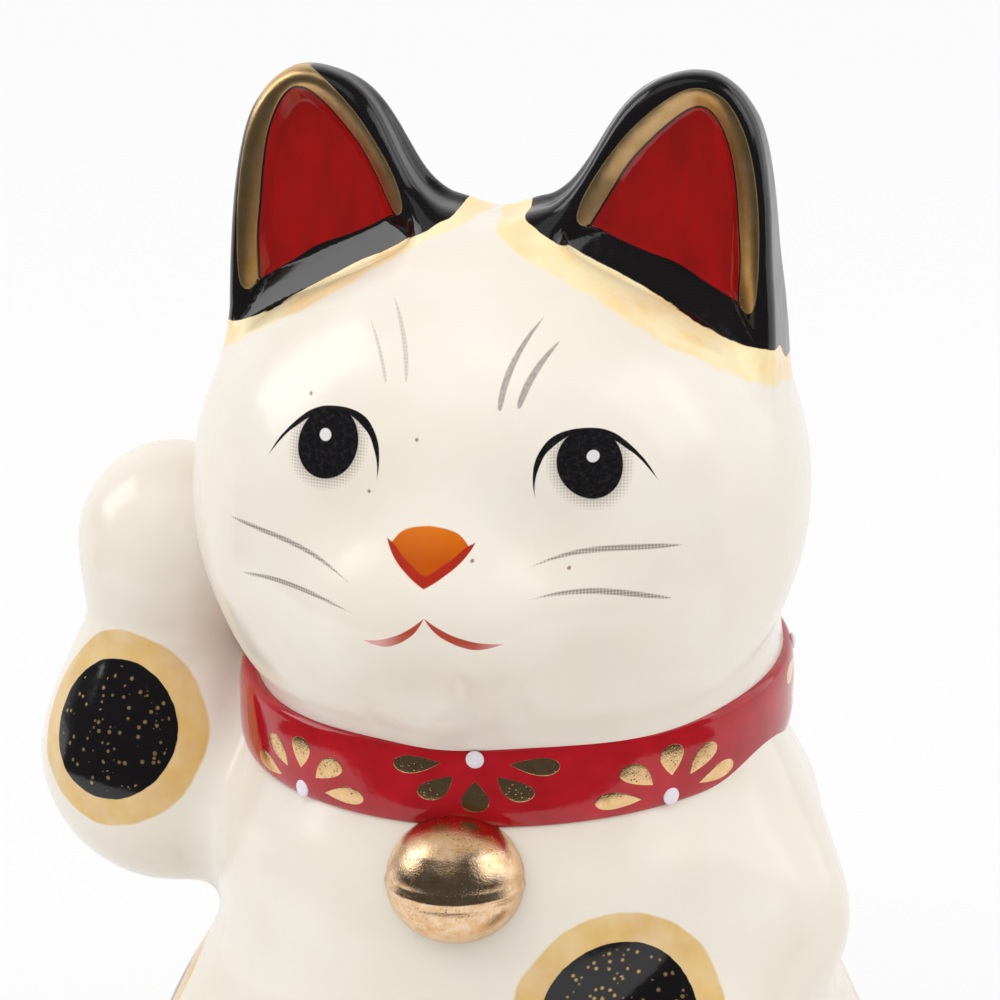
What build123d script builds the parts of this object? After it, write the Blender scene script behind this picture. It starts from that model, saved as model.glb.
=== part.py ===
from build123d import *
import math
import os

# A seated beckoning cat in slip-cast, glazed earthenware. The pieces are modelled as they lie on the
# potter's bench before they are luted together with slip: a hollow torso and a hollow head, ears, arms,
# haunches, paws and tail, a collar in relief with enamel beads, and a moulded bell.
# Millimetres. +Z is up, the cat faces -Y and its right side is -X. The origin is where the torso's axis
# meets the table.

# Torso: a body of revolution about Z with its widest ring at the hips.
casting_wall = 3.5
foot_radius = 31.0
hip_radius = 35.2
hip_height = 14.0
belly_radius = 31.4
belly_height = 41.0
neck_radius = 27.2
neck_height = 58.0
dome_height = 74.0
vent_radius = 6.0

# Head: a spheroid that sits in the trimmed mouth of the torso.
head_half_width = 30.5
head_half_depth = 29.0
head_half_height = 27.3
head_forward = 6.5
head_sink = 5.3
throat_radius = 12.0

# Ears: flattened egg shapes with a cup pressed into the front.
ear_half_width = 12.0
ear_half_depth = 5.8
ear_half_length = 28.0
ear_spread = 13.1
ear_back = 1.0
ear_above_centre = 16.0
ear_lean = 14.0
ear_rim = 2.2
ear_cup_depth = 2.6

# Raised arm: shoulder, elbow and wrist, and a paw bent forwards.
raised_back = 2.0
raised_shoulder_sink = 15.4
raised_shoulder_height = 45.0
raised_shoulder_radius = 12.0
raised_elbow_out = 6.6
raised_elbow_height = 47.5
raised_elbow_radius = 12.6
raised_forearm = 14.0
raised_forearm_in = 0.2
raised_wrist_radius = 9.4
raised_paw_above_wrist = 8.0
raised_paw_in = 0.8
raised_paw_forward = 4.0
raised_paw_radius = 10.2

# Lowered arm: from the shoulder down over the belly, with its paw on the knee.
lowered_shoulder_angle = 56.0
lowered_shoulder_height = 41.0
lowered_shoulder_sink = 9.8
lowered_shoulder_radius = 11.0
lowered_elbow_angle = 48.4
lowered_elbow_height = 27.0
lowered_elbow_sink = 3.9
lowered_elbow_radius = 9.6
lowered_paw_angle = 33.5
lowered_paw_height = 15.0
lowered_paw_sink = 0.0
lowered_paw_radius = 7.8

# Haunches and hind paws, one pair.
haunch_sink = 10.2
haunch_depth = 5.0
haunch_height = 13.5
haunch_half_width = 13.5
haunch_half_depth = 22.0
haunch_half_height = 17.0
hind_paw_side = 18.0
hind_paw_reach = 0.5
hind_paw_half_width = 9.0
hind_paw_half_depth = 11.5
hind_paw_half_height = 7.0
hind_paw_rise = 6.0

# Tail: laid round the back towards the cat's left, tapering to a round tip.
tail_height = 8.5
tail_root_radius = 8.0
tail_bend_radius = 7.0
tail_tip_radius = 5.4
tail_root_angle = 175.0
tail_bend_angle = 140.0
tail_tip_angle = 108.0
tail_stand_off = 2.5

# Collar: a band in relief on the neck, a little higher at the back and on the cat's left.
collar_drop = 23.6
collar_width = 8.4
collar_relief = 1.3
collar_edge = 0.5
collar_back_slope = 0.05
collar_side_slope = 0.03

# Enamel beads: the hearts of the half flowers, in turn on the collar's upper and lower edge.
bead_radius = 0.95
bead_sink = 0.3
bead_inset = 0.9
bead_clearance = 0.03
flower_count = 9
flower_pitch = 40.5
flower_turn = 4.5

# Bell: a flattened ball with a belt, half sunk into the chest below the collar.
bell_radius = 6.9
bell_half_height = 6.2
bell_drop = 8.6
bell_belt_relief = 0.3
bell_belt_width = 1.4

head_height = neck_height - head_sink + head_half_height
ear_height = head_height + ear_above_centre
collar_height = head_height - collar_drop


def torso_outline(grow):
    """The torso's side as a curve in the XZ plane, moved outwards by grow."""
    points = [
        (foot_radius + grow, -grow),
        (hip_radius + grow, hip_height),
        (belly_radius + grow, belly_height),
        (neck_radius + grow, neck_height),
        (0, dome_height + grow),
    ]
    return Spline([(x, 0, z) for x, z in points], tangents=[(0.5, 0, 1), (-1, 0, 0)])


def torso_solid(grow):
    """The torso filled up and grown by grow all round."""
    side = torso_outline(grow)
    floor = Line((0, 0, -grow), side @ 0)
    axis = Line(side @ 1, (0, 0, -grow))
    return Rot(0, 0, 90) * revolve(make_face([floor, side, axis]), Axis.Z, 360)


def torso_radius(height, grow=0.0):
    """The radius of the grown torso at a height, found by halving along its outline."""
    side = torso_outline(grow)
    low, high = 0.0, 1.0
    for _ in range(30):
        middle = (low + high) / 2
        low, high = (middle, high) if (side @ middle).Z < height else (low, middle)
    return (side @ low).X


def around(angle, radius, height):
    """A point at an angle from the front, positive towards the cat's left (+X)."""
    turn = math.radians(angle)
    return Vector(radius * math.sin(turn), -radius * math.cos(turn), height)


def on_torso(angle, height, stand_off):
    """A point at an angle and a height that stands off the torso."""
    return around(angle, torso_radius(height) + stand_off, height)


def ellipsoid(half_width, half_depth, half_height):
    """An ellipsoid about the origin."""
    return scale(Sphere(1), by=(half_width, half_depth, half_height))


def link(start, start_radius, end, end_radius):
    """Two balls and the cone that wraps them, as one body of revolution."""
    run = end - start
    touch = math.degrees(math.acos((start_radius - end_radius) / run.length))
    far_arc = CenterArc((0, run.length), end_radius, 90 - touch, touch)
    near_arc = CenterArc((0, 0), start_radius, -90, 180 - touch)
    side = Line(near_arc @ 1, far_arc @ 0)
    axis = Line(far_arc @ 1, near_arc @ 0)
    section = Plane.XZ * make_face([near_arc, side, far_arc, axis])
    return Plane(origin=start, z_dir=run) * revolve(section, Axis.Z, 360)


def above_table(solid):
    """The part of a solid above the table."""
    reach = 4 * hip_radius
    block = Box(reach, reach, reach, align=(Align.CENTER, Align.CENTER, Align.MIN))
    return solid & block


def collar_plane_height(x, y):
    """The height of the collar's middle plane over a point."""
    return collar_height + collar_side_slope * x + collar_back_slope * y


def collar_seat(angle, across):
    """The plane that touches the collar's face, across millimetres above its middle plane."""
    radius = neck_radius + collar_relief
    for _ in range(8):
        spot = around(angle, radius, 0)
        height = collar_plane_height(spot.X, spot.Y) + across
        radius = torso_radius(height, collar_relief)
    rise = around(angle, torso_radius(height + bead_radius, collar_relief), height + bead_radius)
    run = around(angle + 90, 1, 0)
    spot = around(angle, radius, height)
    return Plane(origin=spot, x_dir=run, z_dir=run.cross(rise - spot))


def make_head():
    """The head's outer spheroid, filled up."""
    return Pos(0, -head_forward, head_height) * ellipsoid(head_half_width, head_half_depth, head_half_height)


def make_head_shell(head):
    """The hollow head casting, open below so that its air can leave through the torso."""
    hollow = ellipsoid(*[half - casting_wall for half in (head_half_width, head_half_depth, head_half_height)])
    throat = Cylinder(throat_radius, head_half_height, align=(Align.CENTER, Align.CENTER, Align.MAX))
    return head - Pos(0, -head_forward, head_height) * hollow - Pos(0, -head_forward, head_height) * throat


def make_torso_shell(torso, head):
    """The hollow torso casting with a vent in its base and a mouth trimmed to the head."""
    vent = Cylinder(vent_radius, 3 * casting_wall)
    return torso - torso_solid(-casting_wall) - vent - head


def make_ear(side, head):
    """One ear, side +1 for the cat's left: an egg shape with a cup pressed into its front."""
    outer = ellipsoid(ear_half_width, ear_half_depth, ear_half_length)
    cup = ellipsoid(ear_half_width - ear_rim, ear_half_depth, ear_half_length - ear_rim)
    ear = outer - Pos(0, -2 * ear_half_depth + ear_cup_depth, 0) * cup
    place = Pos(side * ear_spread, ear_back - head_forward, ear_height) * Rot(0, side * ear_lean, 0)
    return place * ear - head


def make_raised_arm(torso, head):
    """The arm that beckons, its upper end cut to the torso and its paw to the cheek."""
    shoulder = Vector(raised_shoulder_sink - belly_radius, raised_back, raised_shoulder_height)
    elbow = Vector(-belly_radius - raised_elbow_out, raised_back, raised_elbow_height)
    wrist = elbow + Vector(raised_forearm_in, 0, raised_forearm)
    paw = wrist + Vector(raised_paw_in, -raised_paw_forward, raised_paw_above_wrist)
    arm = link(shoulder, raised_shoulder_radius, elbow, raised_elbow_radius)
    arm += link(elbow, raised_elbow_radius, wrist, raised_wrist_radius)
    arm += link(wrist, raised_wrist_radius, paw, raised_paw_radius)
    return arm - torso - head


def make_lowered_arm(torso):
    """The arm that hangs down in front of the belly."""
    shoulder = on_torso(lowered_shoulder_angle, lowered_shoulder_height, -lowered_shoulder_sink)
    elbow = on_torso(lowered_elbow_angle, lowered_elbow_height, -lowered_elbow_sink)
    paw = on_torso(lowered_paw_angle, lowered_paw_height, -lowered_paw_sink)
    arm = link(shoulder, lowered_shoulder_radius, elbow, lowered_elbow_radius)
    arm += link(elbow, lowered_elbow_radius, paw, lowered_paw_radius)
    return arm - torso


def make_haunch(side, torso):
    """One thigh, side +1 for the cat's left."""
    thigh = ellipsoid(haunch_half_width, haunch_half_depth, haunch_half_height)
    return above_table(Pos(side * (hip_radius - haunch_sink), -haunch_depth, haunch_height) * thigh) - torso


def make_hind_paw(side, torso):
    """One hind paw, side +1 for the cat's left, flat on the table."""
    paw = ellipsoid(hind_paw_half_width, hind_paw_half_depth, hind_paw_half_height)
    return above_table(Pos(side * hind_paw_side, -foot_radius - hind_paw_reach, hind_paw_rise) * paw) - torso


def make_tail(torso):
    """The tail, from its root behind the torso to its tip behind the left haunch."""
    root = on_torso(tail_root_angle, tail_height, tail_stand_off)
    bend = on_torso(tail_bend_angle, tail_height, tail_stand_off)
    tip = on_torso(tail_tip_angle, tail_height, tail_stand_off)
    tail = link(root, tail_root_radius, bend, tail_bend_radius)
    tail += link(bend, tail_bend_radius, tip, tail_tip_radius)
    return above_table(tail) - torso


def make_collar(torso, head):
    """The collar's band: a slice of the torso grown by the relief."""
    leaf = Plane(origin=(0, 0, collar_height), z_dir=(-collar_side_slope, -collar_back_slope, 1))
    slab = leaf * Cylinder(2 * neck_radius, collar_width)
    band = slab & torso_solid(collar_relief)
    rims = band.edges().filter_by(lambda edge: edge.length > neck_radius).sort_by(Axis.Z)
    band = fillet(rims, collar_edge)
    return band - torso - head


def make_beads(head):
    """The flower hearts, as low domes that sit on the collar."""
    ball = Pos(0, 0, -bead_sink) * Sphere(bead_radius)
    above = Box(3 * bead_radius, 3 * bead_radius, bead_radius, align=(Align.CENTER, Align.CENTER, Align.MIN))
    dome = Pos(0, 0, bead_clearance) * (ball & above)
    reach = collar_width / 2 - bead_inset
    beads = []
    for number in range(flower_count):
        place = number - flower_count // 2
        across = reach if place % 2 == 0 else -reach
        bead = collar_seat(flower_turn + flower_pitch * place, across) * dome
        beads += (bead - head).solids()
    return Compound(children=beads)


def make_bell(torso, collar):
    """The bell, cut to the chest and to the collar above it."""
    height = collar_plane_height(0, -neck_radius) - bell_drop
    ball = ellipsoid(bell_radius, bell_radius, bell_half_height)
    belt = Cylinder(bell_radius + bell_belt_relief, bell_belt_width)
    belt = fillet(belt.edges(), bell_belt_relief)
    return Pos(0, -torso_radius(height), height) * (ball + belt) - torso - collar


torso = torso_solid(0)
head = make_head()
collar = make_collar(torso, head)
beads = make_beads(head)
haunch_left = make_haunch(1, torso)
haunch_right = make_haunch(-1, torso)
lowered_arm = make_lowered_arm(torso) - haunch_left
pieces = {
    "torso_shell": make_torso_shell(torso, head),
    "head_shell": make_head_shell(head),
    "ear_left": make_ear(1, head),
    "ear_right": make_ear(-1, head),
    "raised_arm": make_raised_arm(torso, head) - collar - beads,
    "lowered_arm": lowered_arm,
    "haunch_left": haunch_left,
    "haunch_right": haunch_right,
    "hind_paw_left": make_hind_paw(1, torso) - haunch_left - lowered_arm,
    "hind_paw_right": make_hind_paw(-1, torso) - haunch_right,
    "tail": make_tail(torso) - haunch_left - haunch_right,
    "collar_band": collar,
    "collar_beads": beads,
    "bell": make_bell(torso, collar),
}

os.makedirs("parts", exist_ok=True)
for name, piece in pieces.items():
    export_step(piece, f"parts/{name}.step")
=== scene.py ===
import math
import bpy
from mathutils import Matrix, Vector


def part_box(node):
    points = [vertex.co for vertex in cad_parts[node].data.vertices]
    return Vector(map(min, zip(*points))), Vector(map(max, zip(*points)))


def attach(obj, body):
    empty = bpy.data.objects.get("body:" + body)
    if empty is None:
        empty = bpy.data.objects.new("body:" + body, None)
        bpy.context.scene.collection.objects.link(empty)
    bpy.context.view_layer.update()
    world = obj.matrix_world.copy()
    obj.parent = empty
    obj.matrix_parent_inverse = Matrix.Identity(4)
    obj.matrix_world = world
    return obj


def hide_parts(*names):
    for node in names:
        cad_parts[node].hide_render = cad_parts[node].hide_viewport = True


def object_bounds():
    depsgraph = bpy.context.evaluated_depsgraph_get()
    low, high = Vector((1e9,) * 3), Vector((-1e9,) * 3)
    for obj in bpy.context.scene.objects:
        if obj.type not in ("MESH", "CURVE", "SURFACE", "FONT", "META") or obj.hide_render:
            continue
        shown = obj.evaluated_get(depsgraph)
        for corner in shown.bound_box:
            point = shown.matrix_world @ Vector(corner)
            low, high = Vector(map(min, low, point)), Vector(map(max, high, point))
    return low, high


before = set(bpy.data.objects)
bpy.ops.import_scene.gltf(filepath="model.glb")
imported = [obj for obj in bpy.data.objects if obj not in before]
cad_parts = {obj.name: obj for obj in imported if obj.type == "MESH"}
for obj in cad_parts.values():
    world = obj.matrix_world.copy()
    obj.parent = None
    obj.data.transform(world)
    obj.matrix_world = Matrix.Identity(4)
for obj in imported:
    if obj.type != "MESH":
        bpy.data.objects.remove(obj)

from types import SimpleNamespace

import bpy
import numpy as np
from mathutils import Matrix, Vector

bl_info = {
    "name": "Beckoning Cat Figurine",
    "version": (1, 0, 0),
    "blender": (4, 5, 0),
    "location": "3D View > Sidebar > Figurine",
    "description": "Makes a glazed and gilded earthenware beckoning cat around its cast pieces",
    "category": "Add Mesh",
}

MM = 0.001  # metres in a millimetre
CAST_BOX = [list(corner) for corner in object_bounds()]
HEAD_LOW, HEAD_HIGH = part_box("head_shell")

# Outlines, in millimetres beside the head's centre as the cat is seen from the front. Those of the front
# were measured, worked out in millimetres by a scratch program, rounded and then adjusted by eye. Those of
# the back, and the ends that lie out of view, are guessed. The ears and their cups are mirrored, and the
# coat's patches differ from side to side.

EAR_EDGE = [
    (6.4, 29.8), (8.9, 33.1), (11.5, 38.0), (13.2, 40.4), (15.3, 42.1), (17.6, 43.0), (19.6, 43.2),
    (21.4, 42.8), (23.1, 41.6), (24.4, 40.0), (25.6, 37.6), (26.5, 33.5), (27.1, 27.5), (27.3, 19.0),
    (26.8, 13.0), (24.0, 6.0), (15.0, 5.0), (4.0, 15.0), (1.5, 24.0), (4.0, 28.2),
]
CUP_EDGE = [
    (8.6, 29.2), (10.2, 33.4), (11.8, 35.9), (13.6, 38.2), (15.8, 40.3), (17.8, 41.7), (19.5, 42.2),
    (21.2, 41.8), (22.8, 40.5), (24.2, 38.0), (25.1, 35.1), (25.7, 31.5), (26.0, 27.5), (26.0, 23.0),
    (25.9, 18.5), (25.0, 17.3), (20.0, 19.8), (15.0, 22.4), (10.0, 25.1), (8.3, 26.4), (8.0, 27.6),
]
GOLD_EDGE = [
    (8.9, 28.6), (8.6, 29.4), (9.1, 31.2), (10.2, 33.4), (11.8, 35.9), (13.6, 38.2), (15.8, 40.3),
    (17.8, 41.7), (19.5, 42.2), (21.2, 41.8), (22.8, 40.5), (24.2, 38.0), (25.1, 35.1), (25.7, 31.5),
    (26.0, 27.5), (26.0, 23.0), (25.7, 20.4), (24.9, 19.8), (23.9, 20.6), (20.6, 22.7), (18.0, 24.4),
    (15.0, 25.6), (12.2, 26.9), (9.6, 28.2),
]
RED_EDGE = [
    (9.8, 28.3), (9.8, 28.3), (10.7, 29.9), (11.9, 32.1), (13.4, 34.6), (15.4, 36.9), (17.2, 38.6),
    (18.9, 39.8), (20.2, 39.9), (21.3, 38.9), (22.2, 37.2), (22.9, 35.0), (23.4, 32.0), (23.7, 28.8),
    (24.0, 25.0), (23.9, 20.7), (23.9, 20.7), (20.6, 22.7), (18.0, 24.4), (15.0, 25.6), (12.2, 26.9),
]
BLACK_FRONT = [
    (3.4, 29.1), (4.8, 28.1), (7.5, 26.6), (10.3, 25.0), (13.4, 23.5), (16.4, 21.8), (19.4, 20.1),
    (22.2, 18.4), (24.8, 17.1), (27.0, 16.6), (32.0, 15.6), (40.0, 30.0), (30.0, 55.0), (3.0, 50.0),
    (2.6, 33.0),
]
BLACK_BACK = [
    (3.4, 29.1), (4.4, 25.5), (7.0, 21.0), (11.0, 17.2), (16.0, 14.6), (21.0, 13.4), (26.0, 14.0),
    (32.0, 15.6), (40.0, 30.0), (30.0, 55.0), (3.0, 50.0), (2.6, 33.0),
]
YELLOW_FRONT_LEFT = [
    (0.6, 28.2), (2.8, 26.6), (4.4, 25.8), (7.5, 24.6), (10.8, 23.3), (14.0, 21.7), (17.2, 19.7),
    (19.1, 18.5), (21.0, 17.5), (22.8, 16.3), (24.8, 14.8), (26.6, 13.7), (32.0, 12.4), (42.0, 28.0),
    (30.0, 57.0), (0.0, 50.0), (-0.6, 33.0),
]
YELLOW_FRONT_RIGHT = [
    (0.2, 29.2), (3.4, 27.8), (6.0, 26.5), (8.7, 25.1), (11.1, 23.8), (13.7, 22.3), (16.5, 20.6),
    (19.7, 18.7), (23.5, 16.4), (25.8, 14.9), (32.0, 13.4), (42.0, 28.0), (30.0, 57.0), (0.0, 50.0),
    (-0.6, 33.0),
]
YELLOW_BACK = [
    (0.4, 28.8), (1.8, 24.6), (4.8, 19.0), (9.4, 14.9), (15.4, 12.0), (21.0, 10.8), (26.4, 11.6),
    (32.0, 13.0), (42.0, 28.0), (30.0, 57.0), (0.0, 50.0), (-0.6, 33.0),
]

# Curves of the drawn face: each pair is a place along and a value there, in millimetres. A pair of the lids
# is an angle round the iris in degrees and a distance from its middle. All were measured and worked out in
# the same way.

LID_REACH, LID_HEIGHT = 245, 8
LID_TOP = [
    (0, 5.9), (15, 5.45), (28, 5.12), (46, 4.83), (60, 4.59), (73, 4.38), (87, 4.03), (101, 3.66), (123, 3.3),
    (146, 3.24), (171, 3.36), (190, 3.62), (207, 4.15), (220, 4.85), (228, 5.42), (234.5, 6.0), (245, 7.2),
]
LID_FOOT = [
    (0, 6.2), (15, 5.45), (29, 4.88), (40, 4.5), (55, 4.15), (69, 3.76), (83, 3.5), (105, 3.2), (130, 2.8),
    (155, 2.7), (182, 3.06), (197, 3.4), (211, 4.06), (222, 4.78), (229, 5.38), (234.5, 6.02), (245, 7.6),
]
NOSE_REACH, NOSE_HEIGHT, NOSE_FLOOR = 4.6, 6, -1
NOSE_TOP = [(0, 4.5), (0.8, 4.42), (1.85, 4.2), (2.75, 3.78), (3.35, 3.2), (3.75, 2.6), (4.6, 0.5)]
NOSE_LINE_TOP = [
    (0, 0.3), (0.25, 0.36), (0.6, 0.55), (1.4, 1.1), (2.4, 1.75), (3.4, 2.6), (4.25, 3.0), (4.6, 3.15),
]
NOSE_LINE_FOOT = [
    (0, -0.85), (0.25, -0.72), (0.95, -0.3), (1.95, 0.4), (2.95, 1.2), (3.85, 2.25), (4.25, 3.0), (4.6, 3.9),
]
MOUTH_REACH, MOUTH_DROP = 7, 4
MOUTH_UPPER = [
    (0, 0), (0.68, 0.6), (1.4, 1.15), (2.3, 1.75), (3.25, 2.22), (4.15, 2.58), (5.1, 2.82), (6.25, 3.02),
    (7.0, 3.1),
]
MOUTH_LOWER = [
    (0, 0), (0.45, 0.85), (1.05, 1.66), (1.85, 2.36), (2.8, 2.96), (4.0, 3.4), (5.1, 3.34), (6.25, 3.0),
    (7.0, 2.7),
]

# Pen strokes of the face, in millimetres beside the head's centre: start, end, sag, width and where it is
# widest. They were measured and worked out in the same way.

WHISKERS = [
    ((-7.7, -1.7), (-22.6, 1.5), -0.85, 0.5, 0.6),
    ((-7.4, -4.1), (-21.1, -3.8), -0.7, 0.5, 0.6),
    ((8.0, 0.1), (21.9, 1.3), 0.75, 0.6, 0.62),
    ((8.4, -2.5), (21.1, -3.9), 0.7, 0.6, 0.62),
]
FAINT_BROWS = [
    ((-6.1, 16.4), (-9.1, 21.2), -0.3, 0.34, 0.3),
    ((-4.1, 16.6), (-7.2, 22.9), -0.6, 0.46, 0.35),
]
BOLD_BROWS = [
    ((5.15, 14.6), (7.8, 21.9), 0.7, 0.62, 0.3),
    ((6.85, 14.8), (9.7, 20.1), 0.45, 0.66, 0.32),
]

# Stations: each pair is a height in millimetres and a half thickness or a radius there.

EAR_FRONT = [(6.0, 5.0), (20.0, 4.0), (28.0, 3.8), (36.0, 3.4), (43.4, 2.8)]
EAR_BACK = [(6.0, 9.0), (20.0, 6.4), (28.0, 4.0), (36.0, 3.0), (43.4, 2.3)]
TORSO_SIDE = [
    (0.0, 31.0), (6.0, 33.8), (14.0, 34.8), (24.0, 33.0), (32.0, 31.4), (41.0, 31.3), (46.5, 30.2),
    (50.0, 28.4), (52.5, 27.1), (55.0, 26.6), (62.0, 26.8), (67.0, 25.5), (74.0, 20.0),
]

# The ears' middle sheet passes through a place beside the head's centre, turns back towards the ear's outer
# edge and leans back towards its tip.

EAR_PLACE = (17.0, -2.2, 22.0)
EAR_TURN = 0.14
EAR_LEAN = 0.095
EAR_ROUNDING_FRONT, EAR_ROUNDING_BACK = 1.9, 2.3
EAR_BACK_WIDER = 0.9  # how much wider an ear's back is than its face, on its inner side

# The ears aren't twins: the left one's foot stands further out, and above a height each is a share shorter
# than its outline.

LEFT_FOOT_OUT = 0.7
LEFT_EAR_SHORTER, RIGHT_EAR_SHORTER = 0.026, 0.065
SHORTER_FROM = 20

# The muzzle, and the share by which the cheeks hang lower than a plain ellipsoid's.

MUZZLE_HALVES = (12.4, 9.8, 9.2)
MUZZLE_DROP = 4.2
MUZZLE_FILLET = 6
CHEEK_DROP = 0.06

# Hollows of the face: a place beside the head's centre in millimetres, how deep and how wide.

HOLLOWS = [
    ((10.5, 3.0), 2.7, 7.2),
    ((-8.8, 3.2), 1.6, 6.4),
    ((12.0, -11.0), 1.6, 5.5),
    ((-1.5, -11.5), 1.4, 4.8),
    ((-2.0, -18.5), -0.9, 6.0),
]

# Iron specks fired into the face: their places beside the head's centre, measured in the same way.

SPECKS = [(-13.8, 14.6), (-2.4, 11.9), (-7.0, 6.7), (3.7, 1.5), (11.9, -0.2)]

# Limbs: places, half sizes and radii in millimetres. The haunches and the hind paws are mirrored.

RAISED_SHOULDER, RAISED_ELBOW, RAISED_WRIST = (-14, 6, 42), (-38.0, 3.0, 46.0), (-37.6, 3.5, 61.5)
RAISED_RADII = (10, 13.2, 9.4)
RAISED_PAW, RAISED_PAW_HALVES = (-37.2, 1.0, 69.5), (9.8, 10.8, 10.2)
LOWERED_SHOULDER, LOWERED_ELBOW, LOWERED_WRIST = (18.5, -5, 47), (22.4, -7.5, 36), (19.5, -29.5, 14)
LOWERED_RADII = (11, 12, 7.8)
HAUNCH, HAUNCH_HALVES = (24.5, -5, 13), (13.5, 22, 17)
HIND_PAW, HIND_PAW_HALVES = (18.0, -31.5, 6), (9, 11.5, 7.2)
TORSO_TOP = 76  # where the torso ends, inside the head
VENT_DEPTH = 20  # how far up the vent is cut

# The tail lies on an arc about the torso's axis, between two angles from the back.

TAIL_START, TAIL_END = math.radians(4.6), math.radians(72)
TAIL_ARC, TAIL_HEIGHT, TAIL_RADIUS, TAIL_TAPER = 37, 8.5, 8, 2.6

# Spots on the body: a place in millimetres and the black's radius there. A yellow ring goes round each.

SPOTS = [
    ((16.0, -27.8, 32.4), 7.8),
    ((-41.4, -9.0, 51.6), 7.3),
    ((38.0, 12.0, 22.0), 7.5),
    ((-40.0, -6.0, 22.0), 7.5),
    ((-12.0, 29.0, 38.0), 11.0),
]

# Lamps: name, place from the head's centre and size in metres, the setting with its watts, and whether it
# lights plain surfaces and whether it shows in glossy ones.

LAMPS = [
    ("soft_box_right", (-0.95, -0.85, 1.2), (1.6, 1.2), "key", True, False),
    ("soft_box_top", (-0.3, -0.6, 1.4), (1.3, 1.0), "top", True, True),
    ("soft_box_left", (1.35, -0.15, 0.98), (1.0, 1.1), "fill", True, True),
    ("window_right", (-1.05, -0.04, 0.75), (0.6, 0.9), "glint", False, True),
    ("window_left", (1.0, 0.5, 0.45), (1.0, 1.0), "window", False, True),
]
AIM_LEFT, AIM_DROP = 0.0006, 0.0018  # how far off the head's centre the camera aims, in metres
TABLE_REACH = 6000  # half the table's width, in millimetres
SHEET_EDGE = 6  # width of the soft edge of the white sheet, in millimetres
SHEET_BACK = 20  # the table is white from here back, in millimetres
CARD_GLOW = 0.82  # share of its own light in the card where it is seen straight


def length(name, description, default):
    """A length that a user may change."""
    return bpy.props.FloatProperty(name=name, description=description, default=default,
                                   unit="LENGTH", precision=5)


def share(name, description, default):
    """A plain number that a user may change."""
    return bpy.props.FloatProperty(name=name, description=description, default=default, precision=3)


def count(name, description, default, least):
    """A number of things that a user may change."""
    return bpy.props.IntProperty(name=name, description=description, default=default, min=least)


def turn(name, description, degrees):
    """An angle that a user may change."""
    radians = math.radians(degrees)
    return bpy.props.FloatProperty(name=name, description=description, default=radians, subtype="ANGLE")


def tint(name, description, red, green, blue):
    """A colour that a user may change, given as linear light."""
    colour = (red, green, blue)
    return bpy.props.FloatVectorProperty(name=name, description=description, default=colour, subtype="COLOR",
                                         min=0, max=1)


class FigurineHeadSizes(bpy.types.PropertyGroup):
    """Sizes of the head and its ears."""

    half_width: length("Half width", "Half the skull's width", 0.03075)
    half_depth: length("Half depth", "Half the skull's depth", 0.0295)
    half_height: length("Half height", "Half the skull's height", 0.0273)
    fullness: share("Fullness", "How square the skull's ellipsoid is, 2 for a plain one", 2.12)
    muzzle_reach: length("Muzzle reach", "How far the muzzle's centre is in front of the head's", 0.0237)
    skull_side: length("Skull side", "How far the skull leans to the cat's left", -0.00035)
    muzzle_side: length("Muzzle side", "How far the muzzle leans to the cat's left", -0.0006)
    cup_depth: length("Cup depth", "How deep the ears' cups are pressed", 0.0024)
    neck_fillet: length("Neck fillet", "Radius of the slip where the head meets the torso", 0.003)
    facet: length("Facet", "Spacing of the mesh", 0.00046)


class FigurineBodySizes(bpy.types.PropertyGroup):
    """Sizes of the torso's details."""

    slip: length("Slip fillet", "Radius of the slip where the limbs meet the torso", 0.0045)
    vent_radius: length("Vent radius", "Radius of the firing vent in the base", 0.006)
    ring: length("Ring", "Width of the yellow ring round a spot", 0.0029)
    facet: length("Facet", "Spacing of the mesh", 0.0006)


class FigurineCollarSizes(bpy.types.PropertyGroup):
    """Sizes of the collar, its gold petals and its beads."""

    drop: length("Drop", "How far the collar's middle is below the head's centre", 0.0233)
    radius: length("Radius", "Radius of the collar's foot on the neck", 0.0272)
    half_width: length("Half width", "Half the width of the band", 0.0042)
    relief: length("Relief", "How far the band stands off its foot", 0.00125)
    sink: length("Sink", "How far the band's back goes into the neck", 0.0015)
    side: length("Side", "How far the collar's middle is to the cat's left", -0.0005)
    squareness: share("Squareness", "Power of the band's section, 2 for an ellipse", 3.5)
    side_slope: share("Side slope", "Rise of the collar towards the cat's left", 0.022)
    back_slope: share("Back slope", "Rise of the collar towards the back", 0.05)
    flowers: count("Flowers", "Half flowers round the collar", 9, 1)
    pitch: turn("Pitch", "Angle between two flowers", 40.5)
    start: turn("Turn", "Angle of the middle flower from the front", 4.5)
    set_back: turn("Set back", "How far back the flower at each side is moved", 18.0)
    heart_inset: length("Heart inset", "How far a flower's heart is inside the band's edge", 0.0011)
    petals: count("Petals", "Petals on a half flower", 5, 2)
    fan: turn("Fan", "Angle of a half flower's outer petals from the band's edge, before the stretch", 12.0)
    petal_start: length("Petal start", "Where a petal's point is, from the heart", 0.0022)
    petal_end: length("Petal end", "Where a petal's round end is, from the heart", 0.0054)
    petal_width: length("Petal width", "Width of a petal", 0.0019)
    petal_stretch: share("Petal stretch", "How much longer the flowers are along the collar", 1.57)
    gold_relief: length("Gold relief", "How far the gold stands off the collar", 0.00003)
    bead_radius: length("Bead radius", "Radius of an enamel bead", 0.0009)
    bead_relief: length("Bead relief", "How far a bead stands off the collar", 0.00036)


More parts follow.
